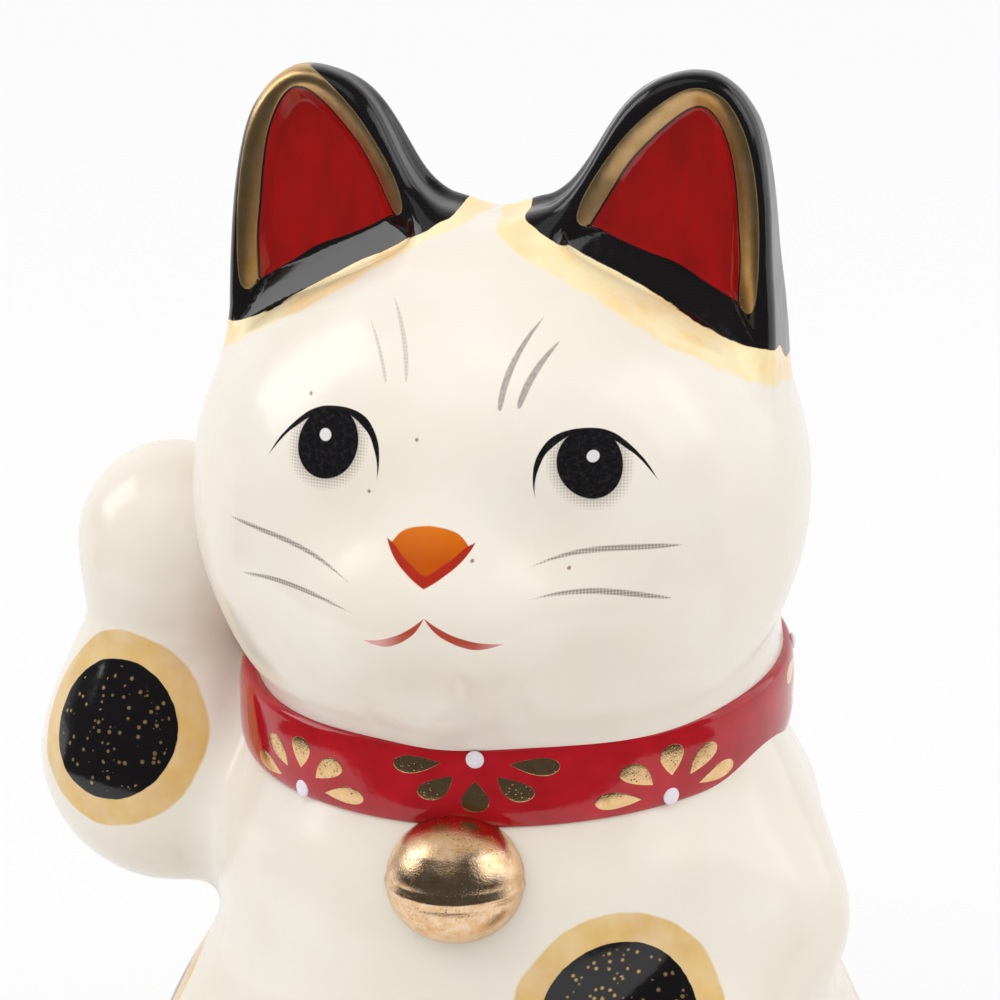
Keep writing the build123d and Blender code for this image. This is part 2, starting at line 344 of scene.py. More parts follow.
class FigurineBellSizes(bpy.types.PropertyGroup):
    """Sizes of the moulded bell."""

    radius: length("Radius", "Radius of the bell at its belt", 0.0069)
    half_height: length("Half height", "Half the bell's height", 0.0062)
    forward: length("Forward", "How far the bell's centre is in front of the torso's axis", 0.0295)
    height: length("Height", "Height of the bell's centre", 0.0464)
    belt: length("Belt relief", "How far the crimped edge stands out", 0.0001)


class FigurineGlazes(bpy.types.PropertyGroup):
    """Colours of the glaze, the enamels, the decals and the gold."""

    white: tint("White", "Clear glaze over the white body", 0.88, 0.83, 0.75)
    cream: tint("Cream", "Where the glaze lies thicker", 0.85, 0.775, 0.665)
    black: tint("Black", "Black enamel", 0.007, 0.006, 0.007)
    yellow: tint("Yellow", "Yellow enamel on the head, brushed thin", 0.98, 0.82, 0.46)
    amber: tint("Amber", "Yellow enamel on the head where it has pooled", 0.93, 0.6, 0.22)
    ochre: tint("Ochre", "Yellow enamel round the body's spots", 0.76, 0.5, 0.15)
    brown_ochre: tint("Brown ochre", "Yellow enamel round the spots where it has pooled", 0.66, 0.35, 0.07)
    ear_red: tint("Ear red", "Red enamel in the ears", 0.37, 0.006, 0.005)
    collar_red: tint("Collar red", "Red enamel of the collar", 0.48, 0.008, 0.018)
    gold: tint("Gold", "Bright gold", 0.85, 0.58, 0.31)
    bell_gold: tint("Bell gold", "Bright gold of the bell", 0.9, 0.66, 0.45)
    old_gold: tint("Old gold", "Matt gold on the ears", 0.69, 0.45, 0.19)
    bead: tint("Bead", "Pale enamel of the beads", 0.79, 0.72, 0.8)
    ink: tint("Ink", "Ink of the eyes", 0.006, 0.006, 0.007)
    grey_ink: tint("Grey ink", "Ink of the whiskers and brows", 0.2, 0.17, 0.15)
    glint: tint("Glint", "The dot left open in the eyes", 0.75, 0.74, 0.72)
    nose: tint("Nose", "Orange decal of the nose", 0.52, 0.085, 0.0)
    nose_line: tint("Nose line", "Red line under the nose", 0.42, 0.022, 0.008)
    lip: tint("Lip", "Pink of the mouth's ends", 0.72, 0.36, 0.33)
    lip_line: tint("Lip line", "Red of the mouth's middle", 0.45, 0.065, 0.035)
    clay: tint("Clay", "Unglazed clay of the foot", 0.7, 0.6, 0.48)


class FigurineStageSettings(bpy.types.PropertyGroup):
    """The camera and the light."""

    azimuth: turn("Azimuth", "Camera's angle towards the cat's left", 13.0)
    elevation: turn("Elevation", "Camera's angle above the table", 17.0)
    roll: turn("Roll", "Camera's lean", -0.4)
    distance: length("Distance", "Camera's distance from the head's centre", 0.45)
    lens: bpy.props.FloatProperty(name="Lens", description="Focal length in millimetres", default=162)
    backdrop: share("Backdrop", "Brightness of the white table and backdrop, 1 for white", 1.0)
    room: share("Room", "Brightness of the room in front of the figurine", 0.08)
    sheet: length("Sheet", "How far the white sheet on the table runs from the torso's axis, in front", 0.111)
    sheet_side: length("Sheet side", "How far the white sheet runs to each side", 0.2)
    key: share("Key", "Watts of the soft box on the cat's right", 7.8)
    fill: share("Fill", "Watts of the soft box on the cat's left", 5.4)
    top: share("Top", "Watts of the soft box overhead", 2.5)
    glint: share("Glint", "Watts of the window on the cat's right, seen only in gloss", 5.0)
    window: share("Window", "Watts of the window behind the cat's left, seen only in gloss", 3.5)


def in_mm(group):
    """A property group's values by name, its lengths in millimetres."""
    values = {}
    for prop in group.bl_rna.properties:
        if prop.type in ("FLOAT", "INT"):
            value = getattr(group, prop.identifier)
            values[prop.identifier] = value / MM if prop.type == "FLOAT" and prop.unit == "LENGTH" else value
    return SimpleNamespace(**values)


def colours(group):
    """A property group's colours by name."""
    names = [prop.identifier for prop in group.bl_rna.properties if prop.type == "FLOAT"]
    return SimpleNamespace(**{name: tuple(getattr(group, name)) for name in names})


def head_centre():
    """The middle of the head, in millimetres."""
    half_height = bpy.context.scene.figurine_head.half_height
    return np.array([0, (HEAD_LOW.y + HEAD_HIGH.y) / 2, HEAD_HIGH.z - half_height]) / MM


# Fields: each takes points as rows of millimetres and gives how far they lie outside a shape.


def smooth_union(a, b, radius):
    """Two shapes joined with a fillet, as wet slip leaves it."""
    mix = np.clip(0.5 + 0.5 * (b - a) / radius, 0, 1)
    return b + (a - b) * mix - radius * mix * (1 - mix)


def smooth_cut(a, b, radius):
    """Shape a with shape b cut away, its edge rounded."""
    return -smooth_union(-a, b, radius)


def ball(points, centre, halves, power=2.0):
    """An ellipsoid, or with a higher power a fuller one."""
    q = np.abs(points - np.array(centre)) / np.array(halves)
    reach = (q**power).sum(1) ** (1 / power)
    return np.linalg.norm(points - np.array(centre), axis=1) * (1 - 1 / np.maximum(reach, 1e-6))


def limb(points, start, start_radius, end, end_radius):
    """A tapering round limb between two places."""
    start, end = np.array(start, float), np.array(end, float)
    run = end - start
    along = np.clip((points - start) @ run / (run @ run), 0, 1)
    radius = start_radius + (end_radius - start_radius) * along
    return np.linalg.norm(points - start - along[:, None] * run, axis=1) - radius


def curve(stations, at):
    """A smooth function through stations, flat at both ends."""
    x, y = np.array(stations, float).T
    slope = np.gradient(y, x)
    slope[0] = slope[-1] = 0
    at = np.clip(at, x[0], x[-1])
    i = np.clip(np.searchsorted(x, at) - 1, 0, len(x) - 2)
    step = x[i + 1] - x[i]
    t = (at - x[i]) / step
    rise = (2 * t**3 - 3 * t**2 + 1) * y[i] + (3 * t**2 - 2 * t**3) * y[i + 1]
    return rise + step * ((t**3 - 2 * t**2 + t) * slope[i] + (t**3 - t**2) * slope[i + 1])


def smooth_line(points, steps=6):
    """A closed line through the points, as short straight runs. A point given twice is a corner."""
    p = np.array(points, float)[:, None]
    before, after, beyond = np.roll(p, 1, 0), np.roll(p, -1, 0), np.roll(p, -2, 0)
    t = np.arange(steps)[None, :, None] / steps
    bend = t * (3 * (p - after) + beyond - before)
    line = p + 0.5 * t * (after - before + t * (2 * before - 5 * p + 4 * after - beyond + bend))
    line = line.reshape(-1, 2)
    return line[np.linalg.norm(line - np.roll(line, 1, 0), axis=1) > 1e-6]


def outside(flat, points):
    """How far flat points lie outside the closed line through an outline's points."""
    line = smooth_line(points)
    nearest = np.full(len(flat), 1e9)
    inside = np.zeros(len(flat), bool)
    for a, b in zip(line, np.roll(line, -1, 0)):
        run, away = b - a, flat - a
        t = np.clip(away @ run / (run @ run), 0, 1)
        nearest = np.minimum(nearest, ((away - t[:, None] * run) ** 2).sum(1))
        if run[1] != 0:
            spans = (a[1] > flat[:, 1]) != (b[1] > flat[:, 1])
            inside ^= spans & (flat[:, 0] < a[0] + run[0] * (flat[:, 1] - a[1]) / run[1])
    return np.sqrt(nearest) * np.where(inside, -1, 1)


def charted(points, spacing=0.12, margin=9):
    """The distance outside a closed line, looked up on a fine flat chart. It holds within the margin."""
    low, high = np.min(points, 0) - margin, np.max(points, 0) + margin
    axes = [np.arange(a, b, spacing) for a, b in zip(low, high)]
    chart = outside(np.stack(np.meshgrid(*axes, indexing="ij"), -1).reshape(-1, 2), points)
    chart = chart.reshape(len(axes[0]), len(axes[1]))

    def look_up(flat):
        at = np.clip((flat - low) / spacing, 0, np.array(chart.shape) - 1.001)
        i, j = at.astype(int).T
        t, u = (at % 1).T
        near = chart[i, j] * (1 - t) + chart[i + 1, j] * t
        return near * (1 - u) + (chart[i, j + 1] * (1 - t) + chart[i + 1, j + 1] * t) * u

    return look_up


outside_ear = charted(EAR_EDGE)
outside_cup = charted(CUP_EDGE)


def from_ear_middle(q):
    """How far a point beside the head's centre lies behind the middle sheet of its ear."""
    x, y, z = EAR_PLACE
    return q[:, 1] - y - EAR_LEAN * (q[:, 2] - z) - EAR_TURN * (np.abs(q[:, 0]) - x)


def ear_field(q):
    """The left ear as a solid leaf, at points beside the head's centre. Its back is wider than its face."""
    flat, height, behind = q[:, [0, 2]], q[:, 2], from_ear_middle(q)
    thickness = np.where(behind < 0, curve(EAR_FRONT, height), curve(EAR_BACK, height))
    rounding = np.where(behind < 0, EAR_ROUNDING_FRONT, EAR_ROUNDING_BACK)
    wider = EAR_BACK_WIDER * smoothstep(behind, 0, 2.5) * smoothstep(-q[:, 0], -19, -13)
    across = outside_ear(flat) + rounding - wider
    through = np.abs(behind) - thickness + rounding
    corner = np.hypot(np.maximum(across, 0), np.maximum(through, 0))
    return corner + np.minimum(np.maximum(across, through), 0) - rounding


def cup_field(q, cup_depth):
    """The cup pressed into the left ear, with a foot that slopes down to the forehead."""
    beside = outside_cup(q[:, [0, 2]])
    depth = np.clip(-0.85 * beside - 0.1, -2, cup_depth)
    return np.maximum(from_ear_middle(q) + curve(EAR_FRONT, q[:, 2]) - depth, 0.7 * beside)


def face_field(q, head):
    """The skull with its cheeks, its muzzle and its hollows, at points beside the head's centre."""
    cheek = CHEEK_DROP * smoothstep(np.abs(q[:, 0]), 6, 22)
    low = q.copy()
    low[:, 2] *= 1 - cheek * smoothstep(-q[:, 2], 8, 17)
    halves = (head.half_width, head.half_depth, head.half_height)
    skull = ball(low, (head.skull_side, 0, 0), halves, head.fullness)
    muzzle = ball(q, (head.muzzle_side, -head.muzzle_reach, -MUZZLE_DROP), MUZZLE_HALVES)
    face = smooth_union(skull, muzzle, MUZZLE_FILLET)
    front = smoothstep(-q[:, 1], 5, 15)
    for (x, z), depth, reach in HOLLOWS:
        face += depth * front * np.exp(-((q[:, 0] - x) ** 2 + (q[:, 2] - z) ** 2) / reach**2)
    return face


def head_field(points, head):
    """The skull with its muzzle and ears."""
    q = points - head_centre()
    face = face_field(q, head)
    wide = LEFT_FOOT_OUT * smoothstep(q[:, 0], 0, 10) * smoothstep(-q[:, 2], -26, -13)
    shorter = RIGHT_EAR_SHORTER + (LEFT_EAR_SHORTER - RIGHT_EAR_SHORTER) * smoothstep(q[:, 0], -4, 4)
    q[:, 2] += shorter * np.maximum(q[:, 2] - SHORTER_FROM, 0)
    q[:, 0] = np.sqrt(q[:, 0] ** 2 + 4) - wide
    near = (q[:, 2] > 4) & (q[:, 2] < 52)
    ear, cup = np.full(len(q), 30.0), np.full(len(q), 30.0)
    ear[near], cup[near] = ear_field(q[near]), cup_field(q[near], head.cup_depth)
    whole = smooth_union(face, ear, 2.6 + 2.9 * smoothstep(-q[:, 0], -20, -9))
    return smooth_cut(whole, cup, 1.2)


def torso_field(points):
    """The torso, a body of revolution that rises into the head."""
    x, y, z = points.T
    side = np.hypot(x, y) - curve(TORSO_SIDE, z)
    return -smooth_union(-side, TORSO_TOP - z, 6)


def above_collar(points, collar):
    """How far a point lies above the collar's middle plane."""
    x, y, z = points.T
    return z - (head_centre()[2] - collar.drop + collar.side_slope * x + collar.back_slope * y)


def raised_arm_field(points):
    """The arm that beckons, with its bent paw."""
    shoulder, elbow, wrist = RAISED_RADII
    upper = limb(points, RAISED_SHOULDER, shoulder, RAISED_ELBOW, elbow)
    fore = limb(points, RAISED_ELBOW, elbow, RAISED_WRIST, wrist)
    paw = ball(points, RAISED_PAW, RAISED_PAW_HALVES)
    return smooth_union(smooth_union(upper, fore, 5), paw, 4)


def lowered_arm_field(points):
    """The arm that hangs over the belly."""
    shoulder, elbow, wrist = LOWERED_RADII
    upper = limb(points, LOWERED_SHOULDER, shoulder, LOWERED_ELBOW, elbow)
    fore = limb(points, LOWERED_ELBOW, elbow, LOWERED_WRIST, wrist)
    return smooth_union(upper, fore, 4)


def tail_field(points):
    """The tail, laid round the back to the cat's left."""
    turned = np.clip(np.arctan2(points[:, 0], points[:, 1]), TAIL_START, TAIL_END)
    heights = np.full(len(points), TAIL_HEIGHT)
    middle = np.stack([TAIL_ARC * np.sin(turned), TAIL_ARC * np.cos(turned), heights], 1)
    thinner = TAIL_TAPER * (turned - TAIL_START) / (TAIL_END - TAIL_START)
    return np.linalg.norm(points - middle, axis=1) - TAIL_RADIUS + thinner


def neck_field(points, head):
    """The head and the torso as one, without the limbs."""
    return smooth_union(head_field(points, head), torso_field(points), head.neck_fillet)


def top_field(points, head, collar):
    """The head, the ears and the nape, down to the collar's middle plane."""
    return np.maximum(neck_field(points, head), -above_collar(points, collar))


def body_field(points, head, body, collar):
    """The torso up to the collar's middle plane, with its limbs and tail."""
    torso = np.maximum(neck_field(points, head), above_collar(points, collar))
    pair = points.copy()
    pair[:, 0] = np.abs(pair[:, 0])
    haunch = ball(pair, HAUNCH, HAUNCH_HALVES)
    hind_paw = ball(pair, HIND_PAW, HIND_PAW_HALVES)
    whole = smooth_union(torso, haunch, 5)
    whole = smooth_union(whole, hind_paw, 3)
    whole = smooth_union(whole, lowered_arm_field(points), 4)
    whole = smooth_union(whole, raised_arm_field(points), body.slip)
    whole = smooth_union(whole, tail_field(points), 3)
    whole = -smooth_union(-whole, points[:, 2], 1.5)
    vent = np.hypot(points[:, 0], points[:, 1]) - body.vent_radius
    return smooth_cut(whole, np.maximum(vent, points[:, 2] - VENT_DEPTH), 0.5)


def gradient(field, points, reach=0.02):
    """The field's slope at each point."""
    slopes = []
    for axis in range(3):
        shift = np.zeros(3)
        shift[axis] = reach
        slopes.append((field(points + shift) - field(points - shift)) / (2 * reach))
    return np.stack(slopes, 1)


def settle(field, points, rounds):
    """Points moved onto the field's surface."""
    for _ in range(rounds):
        slope = gradient(field, points)
        step = field(points)[:, None] * slope / np.maximum((slope**2).sum(1), 0.04)[:, None]
        points = points - np.clip(step, -0.5, 0.5)
    return points


def relax(corners, faces):
    """Each corner moved half way to the mean of its neighbours."""
    total, count = np.zeros_like(corners), np.zeros(len(corners))
    for a, b in ((0, 1), (1, 2), (2, 3), (3, 0)):
        for s, t in ((a, b), (b, a)):
            np.add.at(total, faces[:, s], corners[faces[:, t]])
            np.add.at(count, faces[:, s], 1)
    return (corners + total / count[:, None]) / 2


def nearby_values(field, grid, step, block=4):
    """The field on a grid, exact near its surface and taken from the nearest block corner elsewhere."""
    coarse = grid[::block, ::block, ::block]
    rough = field(coarse.reshape(-1, 3)).reshape(coarse.shape[:3])
    for axis in range(3):
        rough = np.repeat(rough, block, axis)
    values = rough[tuple(slice(n) for n in grid.shape[:3])].copy()
    near = np.abs(values) < 2.5 * block * step
    values[near] = field(grid[near])
    return values


def surface(field, low, high, step):
    """Closed quads where a field is zero, one corner in each cell that the surface crosses."""
    axes = [np.arange(a, b + step, step) for a, b in zip(low, high)]
    grid = np.stack(np.meshgrid(*axes, indexing="ij"), -1)
    values = nearby_values(field, grid, step)
    inside = values < 0
    cells = [n - 1 for n in values.shape]
    total, count = np.zeros((*cells, 3)), np.zeros(cells)
    crossings = []
    for axis in range(3):
        near, far = [slice(None)] * 3, [slice(None)] * 3
        near[axis], far[axis] = slice(0, -1), slice(1, None)
        near, far = tuple(near), tuple(far)
        at = np.stack(np.nonzero(inside[near] != inside[far]), 1)
        i, j, k = at.T
        v0, v1 = values[near][i, j, k], values[far][i, j, k]
        run = (grid[far] - grid[near])[i, j, k]
        spot = grid[near][i, j, k] + run * (v0 / (v0 - v1))[:, None]
        crossings.append((axis, at, inside[near][i, j, k]))
        b, c = (axis + 1) % 3, (axis + 2) % 3
        for db, dc in ((0, 0), (0, 1), (1, 0), (1, 1)):
            cell = at.copy()
            cell[:, b] -= db
            cell[:, c] -= dc
            np.add.at(total, tuple(cell.T), spot)
            np.add.at(count, tuple(cell.T), 1)
    used = count > 0
    number = -np.ones(count.shape, int)
    number[used] = np.arange(used.sum())
    corners = total[used] / count[used][:, None]
    faces = []
    for axis, at, outward in crossings:
        b, c = (axis + 1) % 3, (axis + 2) % 3
        ring = []
        for db, dc in ((0, 0), (1, 0), (1, 1), (0, 1)):
            cell = at.copy()
            cell[:, b] -= db
            cell[:, c] -= dc
            ring.append(number[tuple(cell.T)])
        quads = np.stack(ring, 1)
        quads[~outward] = quads[~outward][:, ::-1]
        faces.append(quads)
    faces = np.concatenate(faces)
    for _ in range(2):
        corners = settle(field, relax(corners, faces), 2)
    return settle(field, corners, 2), faces


def lathe(profile, steps):
    """Corners and faces of a profile turned about Z. Its first and last points are on the axis."""
    radii, heights = np.array(profile, float)[1:-1].T
    around = np.arange(steps) * 2 * np.pi / steps
    x, y = radii[:, None] * np.cos(around), radii[:, None] * np.sin(around)
    z = np.repeat(heights[:, None], steps, 1)
    ends = [(0, 0, profile[0][1]), (0, 0, profile[-1][1])]
    corners = np.concatenate([np.stack([x, y, z], -1).reshape(-1, 3), ends])
    here = np.arange(steps)
    beside = (here + 1) % steps
    rows = np.arange(len(radii) - 1)[:, None] * steps
    quads = np.stack([rows + here, rows + beside, rows + steps + beside, rows + steps + here], -1)
    first, last = len(corners) - 2, len(corners) - 1
    top = (len(radii) - 1) * steps
    faces = quads.reshape(-1, 4).tolist()
    faces += [(first, b, a) for a, b in zip(here.tolist(), beside.tolist())]
    faces += [(top + a, top + b, last) for a, b in zip(here.tolist(), beside.tolist())]
    return corners, faces


def smoothstep(value, low, high):
    """A smooth rise from 0 at low to 1 at high."""
    t = np.clip((value - low) / (high - low), 0, 1)
    return t * t * (3 - 2 * t)


def head_marks(corners):
    """How far each corner of the head lies outside the ears' red and gold and the coat's patches."""
    q = corners - head_centre()
    flat = np.stack([np.abs(q[:, 0]), q[:, 2]], 1)
    on_right, height = q[:, 0] < 0, np.maximum(q[:, 2] - 20, 0)
    cup = flat + np.stack([-0.022 * on_right, 0.042 - 0.028 * on_right], 1) * height[:, None]
    behind = from_ear_middle(q)
    hidden = 3 * np.maximum(behind, 0)
    back = smoothstep(q[:, 1], -2, 2)
    left = smoothstep(q[:, 0], -1, 1)
    yellow_front = outside(flat, YELLOW_FRONT_LEFT) * left + outside(flat, YELLOW_FRONT_RIGHT) * (1 - left)
    yellow = yellow_front * (1 - back) + outside(flat, YELLOW_BACK) * back
    black = outside(flat, BLACK_FRONT) * (1 - back) + outside(flat, BLACK_BACK) * back
    return {
        "ear_red": outside(cup, RED_EDGE) + hidden,
        "ear_gold": outside(cup, GOLD_EDGE) + hidden,
        "black": black,
        "yellow": yellow,
    }


def body_marks(corners):
    """How far each corner of the body lies outside the black of its spots and its tail."""
    black = tail_field(corners) - 0.3
    black = np.maximum(black, 30 - corners[:, 1] - 0.6 * corners[:, 0])
    for place, radius in SPOTS:
        black = np.minimum(black, np.linalg.norm(corners - np.array(place), axis=1) - radius)
    return {"black": black}


class Sheet:
    """A node tree being drawn up."""

    def __init__(self, tree):
        self.tree = tree

    def node(self, kind, settings=None, sockets=None, out=0):
        """Adds a node with its settings, then its sockets' values or links. Gives one of its outputs."""
        node = self.tree.nodes.new(kind)
        for name, value in (settings or {}).items():
            if name == "handles":
                set_handles(node.mapping, value)
            else:
                setattr(node, name, value)
        for key, value in (sockets or {}).items():
            socket = find(node.inputs, key)
            if isinstance(value, Value):
                self.tree.links.new(value.socket, socket)
            else:
                socket.default_value = value
        return Value(self, find(node.outputs, out)) if node.outputs else None

    def mix(self, factor, a, b):
        """Colour a, with colour b over it by the factor."""
        settings = {"data_type": "RGBA"}
        sockets = {"Factor_Float": factor, "A_Color": solid(a), "B_Color": solid(b)}
        return self.node("ShaderNodeMix", settings, sockets, "Result_Color")

    def noise(self, place, scale, detail=2.0, roughness=0.5):
        """Noise from 0 to 1 over a place."""
        sockets = {"Vector": place, "Scale": scale, "Detail": detail, "Roughness": roughness}
        return self.node("ShaderNodeTexNoise", {}, sockets, "Fac")

    def mark(self, name):
        """A number that the piece's mesh carries under a name."""
        return self.node("ShaderNodeAttribute", {"attribute_name": name}, {}, "Fac")


class Value:
    """A socket in a sheet. Python's operators on it add the Math nodes."""

    def __init__(self, sheet, socket):
        self.sheet, self.socket = sheet, socket

    def of(self, out):
        """Another output of the same node."""
        return Value(self.sheet, find(self.socket.node.outputs, out))

    def math(self, operation, *others, clamp=False):
        """A Math node on this value and others."""
        settings = {"operation": operation, "use_clamp": clamp}
        return self.sheet.node("ShaderNodeMath", settings, dict(enumerate((self, *others))))

    def __add__(self, other):
        return self.math("ADD", other)

    __radd__ = __add__

    def __sub__(self, other):
        return self.math("SUBTRACT", other)

    def __rsub__(self, other):
        return self.math("MULTIPLY_ADD", -1.0, other)

    def __mul__(self, other):
        return self.math("MULTIPLY", other)

    __rmul__ = __mul__

    def __truediv__(self, other):
        return self.math("DIVIDE", other)

    def __pow__(self, other):
        return self.math("POWER", other)

    def __abs__(self):
        return self.math("ABSOLUTE")

    def __neg__(self):
        return self.math("MULTIPLY", -1.0)

    def __lt__(self, other):
        return self.math("LESS_THAN", other)

    def __gt__(self, other):
        return self.math("GREATER_THAN", other)

    def least(self, other):
        return self.math("MINIMUM", other)

    def most(self, other):
        return self.math("MAXIMUM", other)

    def clamped(self):
        return self.math("ADD", 0.0, clamp=True)

    def depth(self, soft=0.08):
        """1 where this depth inside a shape is positive, with an edge of soft millimetres."""
        return self.math("MULTIPLY_ADD", 1 / soft, 0.5, clamp=True)

    def drawn(self, handles, reach, height, floor=0.0):
        """A smooth curve of this value through the handles, from 0 to reach, with heights from floor up."""
        points = [(at / reach, (value - floor) / height) for at, value in handles]
        curve_value = self.sheet.node("ShaderNodeFloatCurve", {"handles": points}, {"Value": self / reach})
        return curve_value.math("MULTIPLY_ADD", height, floor)


def find(sockets, key):
    """A node's socket by its number, its identifier or its name."""
    if isinstance(key, int):
        return sockets[key]
    named = [socket for socket in sockets if socket.identifier == key]
    return named[0] if named else sockets[key]


def solid(colour):
    """A colour as a socket takes it."""
    return colour if isinstance(colour, Value) else (*colour, 1.0)


def set_handles(mapping, points):
    """Gives a drawn curve its points, in order."""
    line = mapping.curves[0]
    for at, value in points[2:]:
        line.points.new(at, value)
    for handle, (at, value) in zip(line.points, sorted(points)):
        handle.location = (at, value)
    mapping.update()


def hypot(a, b):
    """The length of a run with sides a and b."""
    return (a * a + b * b).math("SQRT")


class Finish:
    """Colour, roughness, metal and relief of a surface, painted layer by layer."""

    def __init__(self, sheet, colour, roughness, metal, relief):
        self.sheet, self.colour, self.roughness = sheet, colour, roughness
        self.metal, self.relief = metal, relief

    def paint(self, mask, colour, roughness=None, metal=None, relief=0.0):
        """Paints a layer where the mask is 1, raised by relief millimetres."""
        self.colour = self.sheet.mix(mask, self.colour, colour)
        if roughness is not None:
            self.roughness = self.roughness + mask * (roughness - self.roughness)
        if metal is not None:
            self.metal = self.metal + mask * (metal - self.metal)
        if relief:
            self.relief = self.relief + mask * relief

    def fire(self, shader):
        """Joins the finish to the material's shader."""
        links = self.sheet.tree.links
        links.new(self.colour.socket, shader.inputs["Base Color"])
        links.new(self.roughness.socket, shader.inputs["Roughness"])
        if isinstance(self.metal, Value):
            links.new(self.metal.socket, shader.inputs["Metallic"])
        else:
            shader.inputs["Metallic"].default_value = self.metal
        sockets = {"Strength": 1.0, "Distance": MM, "Height": self.relief}
        links.new(self.sheet.node("ShaderNodeBump", {}, sockets).socket, shader.inputs["Normal"])


def new_material(name):
    """An empty material: its sheet and its shader."""
    material = bpy.data.materials.new(name)
    material.use_nodes = True
    return material, Sheet(material.node_tree), material.node_tree.nodes["Principled BSDF"]


def millimetres(sheet, centre=(0, 0, 0)):
    """The place on the object in millimetres from a centre."""
    coordinates = sheet.node("ShaderNodeTexCoord", {}, {}, "Object")
    sockets = {"Vector": coordinates, "Location": [-c for c in centre], "Scale": (1 / MM,) * 3}
    return sheet.node("ShaderNodeMapping", {}, sockets)


def parts(sheet, place):
    """The x, y and z of a place."""
    x = sheet.node("ShaderNodeSeparateXYZ", {}, {0: place})
    return x, x.of(1), x.of(2)


def white_glaze(sheet, place, glazes):
    """Clear glaze over white clay: faint clouds, pinholes and a skin that isn't quite level."""
    clouds = sheet.noise(place, 0.07, 3.0)
    colour = sheet.mix(clouds.math("MULTIPLY_ADD", 2.4, -0.9, clamp=True), glazes.cream, glazes.white)
    cells = sheet.node("ShaderNodeTexVoronoi", {}, {"Vector": place, "Scale": 0.11}, "Distance")
    rare = sheet.node("ShaderNodeSeparateColor", {}, {0: cells.of("Color")}) > 0.45
    specks = ((0.0125 - cells) / 0.11).depth(0.06) * rare
    colour = sheet.mix(specks * 0.75, colour, (0.2, 0.08, 0.03))
    swell = sheet.noise(place, 0.35, 1.0) * 0.05
    ripple = sheet.noise(place, 1.1, 2.0) * 0.013
    roughness = sheet.noise(place, 0.4, 2.0).math("MULTIPLY_ADD", 0.16, 0.12)
    return Finish(sheet, colour, roughness, 0.0, swell + ripple)


def patches(sheet, finish, place, black, thin, thick, black_mark, yellow_mark):
    """Black enamel with a brushed yellow fringe, thin to thick. The marks are millimetres outside each."""
    wobble = sheet.noise(place, 0.22, 2.0).math("MULTIPLY_ADD", 0.9, -0.45)
    fringe = (wobble - yellow_mark).depth(0.25)
    wash = sheet.noise(place, 0.16, 3.0, 0.6)
    pooled = wash.math("MULTIPLY_ADD", 3.0, -1.25, clamp=True)
    yellow = sheet.mix(pooled, thin, thick)
    strength = sheet.noise(place, 0.3, 2.0).math("MULTIPLY_ADD", 0.6, 0.52, clamp=True)
    finish.paint(fringe * strength, yellow, 0.16, None, 0.012)
    small = sheet.noise(place, 0.5, 2.0).math("MULTIPLY_ADD", 0.3, -0.15)
    coat = (small - black_mark).depth(0.07)
    brush = sheet.noise(place, 0.7, 3.0).math("MULTIPLY_ADD", 0.16, 0.06)
    finish.paint(coat, black, brush, None, 0.03)
    return coat


def stroke(x, z, start, end, sag, width, peak):
    """Depth inside a tapered pen stroke that bows to its left by sag and is widest at peak."""
    run = np.array(end, float) - np.array(start, float)
    reach = float(np.hypot(*run))
    dx, dz = (run / reach).tolist()
    along = (x * (dx / reach) + z * (dz / reach) - (start[0] * dx + start[1] * dz) / reach).clamped()
    side = z * dx - x * dz - (start[1] * dx - start[0] * dz)
    bow = along * (1 - along) * (4 * sag)
    ease = along ** (math.log(0.5) / math.log(peak))
    half = (ease * (1 - ease) * 4) ** 0.45 * (width / 2 + 0.1)
    return half - abs(side - bow) - 0.1


def strokes(x, z, rows):
    """Depth inside any of some strokes."""
    depth = stroke(x, z, *rows[0])
    for row in rows[1:]:
        depth = depth.most(stroke(x, z, *row))
    return depth


def printed_dots(x, z, ink, pitch=0.3):
    """Printed dots that cover a share of the surface, the ink."""
    across = abs((x / pitch).math("FRACT") - 0.5)
    down = abs((z / pitch).math("FRACT") - 0.5)
    return (ink.math("SQRT") * 0.62 - hypot(across, down)).depth(0.25)


def eyes(sheet, finish, glazes, x, z, front):
    """Both eyes: iris, glint, lid and the printed shade round the iris. The decals differ a little."""
    left = x > 0
    u = (abs(x) - (left * 2.1 + 11.45)) / (1.07 - left * 0.07)
    v = z - (10.62 - left * 1.02) + u * (0.045 - left * 0.045)
    reach = hypot(u, v)
    angle = u.math("ARCTAN2", v) * (180 / math.pi) + 130
    lid_top = angle.drawn(LID_TOP, LID_REACH, LID_HEIGHT)
    lid_foot = angle.drawn(LID_FOOT, LID_REACH, LID_HEIGHT)
    ends = (118 - abs(angle - 125)) * 0.1
    lid = (lid_top + 0.06 - reach).least(reach + 0.04 - lid_foot).least(ends).depth()
    middle = u + v * 0.1
    shape = hypot(middle / 2.95, v / 3.35)
    iris_depth = (1 - shape) * 3.1
    beneath = (lid_foot + 0.1 - reach).depth()
    halo = (iris_depth.math("MULTIPLY_ADD", 0.56, 0.64)).clamped() * beneath * front
    dots = printed_dots(x, z, halo)
    finish.paint(halo * 0.28 + dots * 0.36, glazes.grey_ink)
    iris = (iris_depth.depth() * (lid_top - reach).depth()).most(lid) * front
    across = sheet.node("ShaderNodeCombineXYZ", {}, {0: x, 1: z})
    # The noise lightens the black ink to grey-lilac in patches: a painted sheen, standing in for glints of
    # light on the decal's wrinkled, glossy surface.
    grain = sheet.noise(across, 2.2, 3.0, 0.7).math("MULTIPLY_ADD", 3.0, -1.4, clamp=True)
    ink = sheet.mix(grain, glazes.ink, (0.03, 0.024, 0.026))
    finish.paint(iris, ink, 0.1, None, 0.01)
    glint = (0.57 - hypot(u - 0.28, v - 0.75)).depth() * front
    finish.paint(glint, glazes.glint)


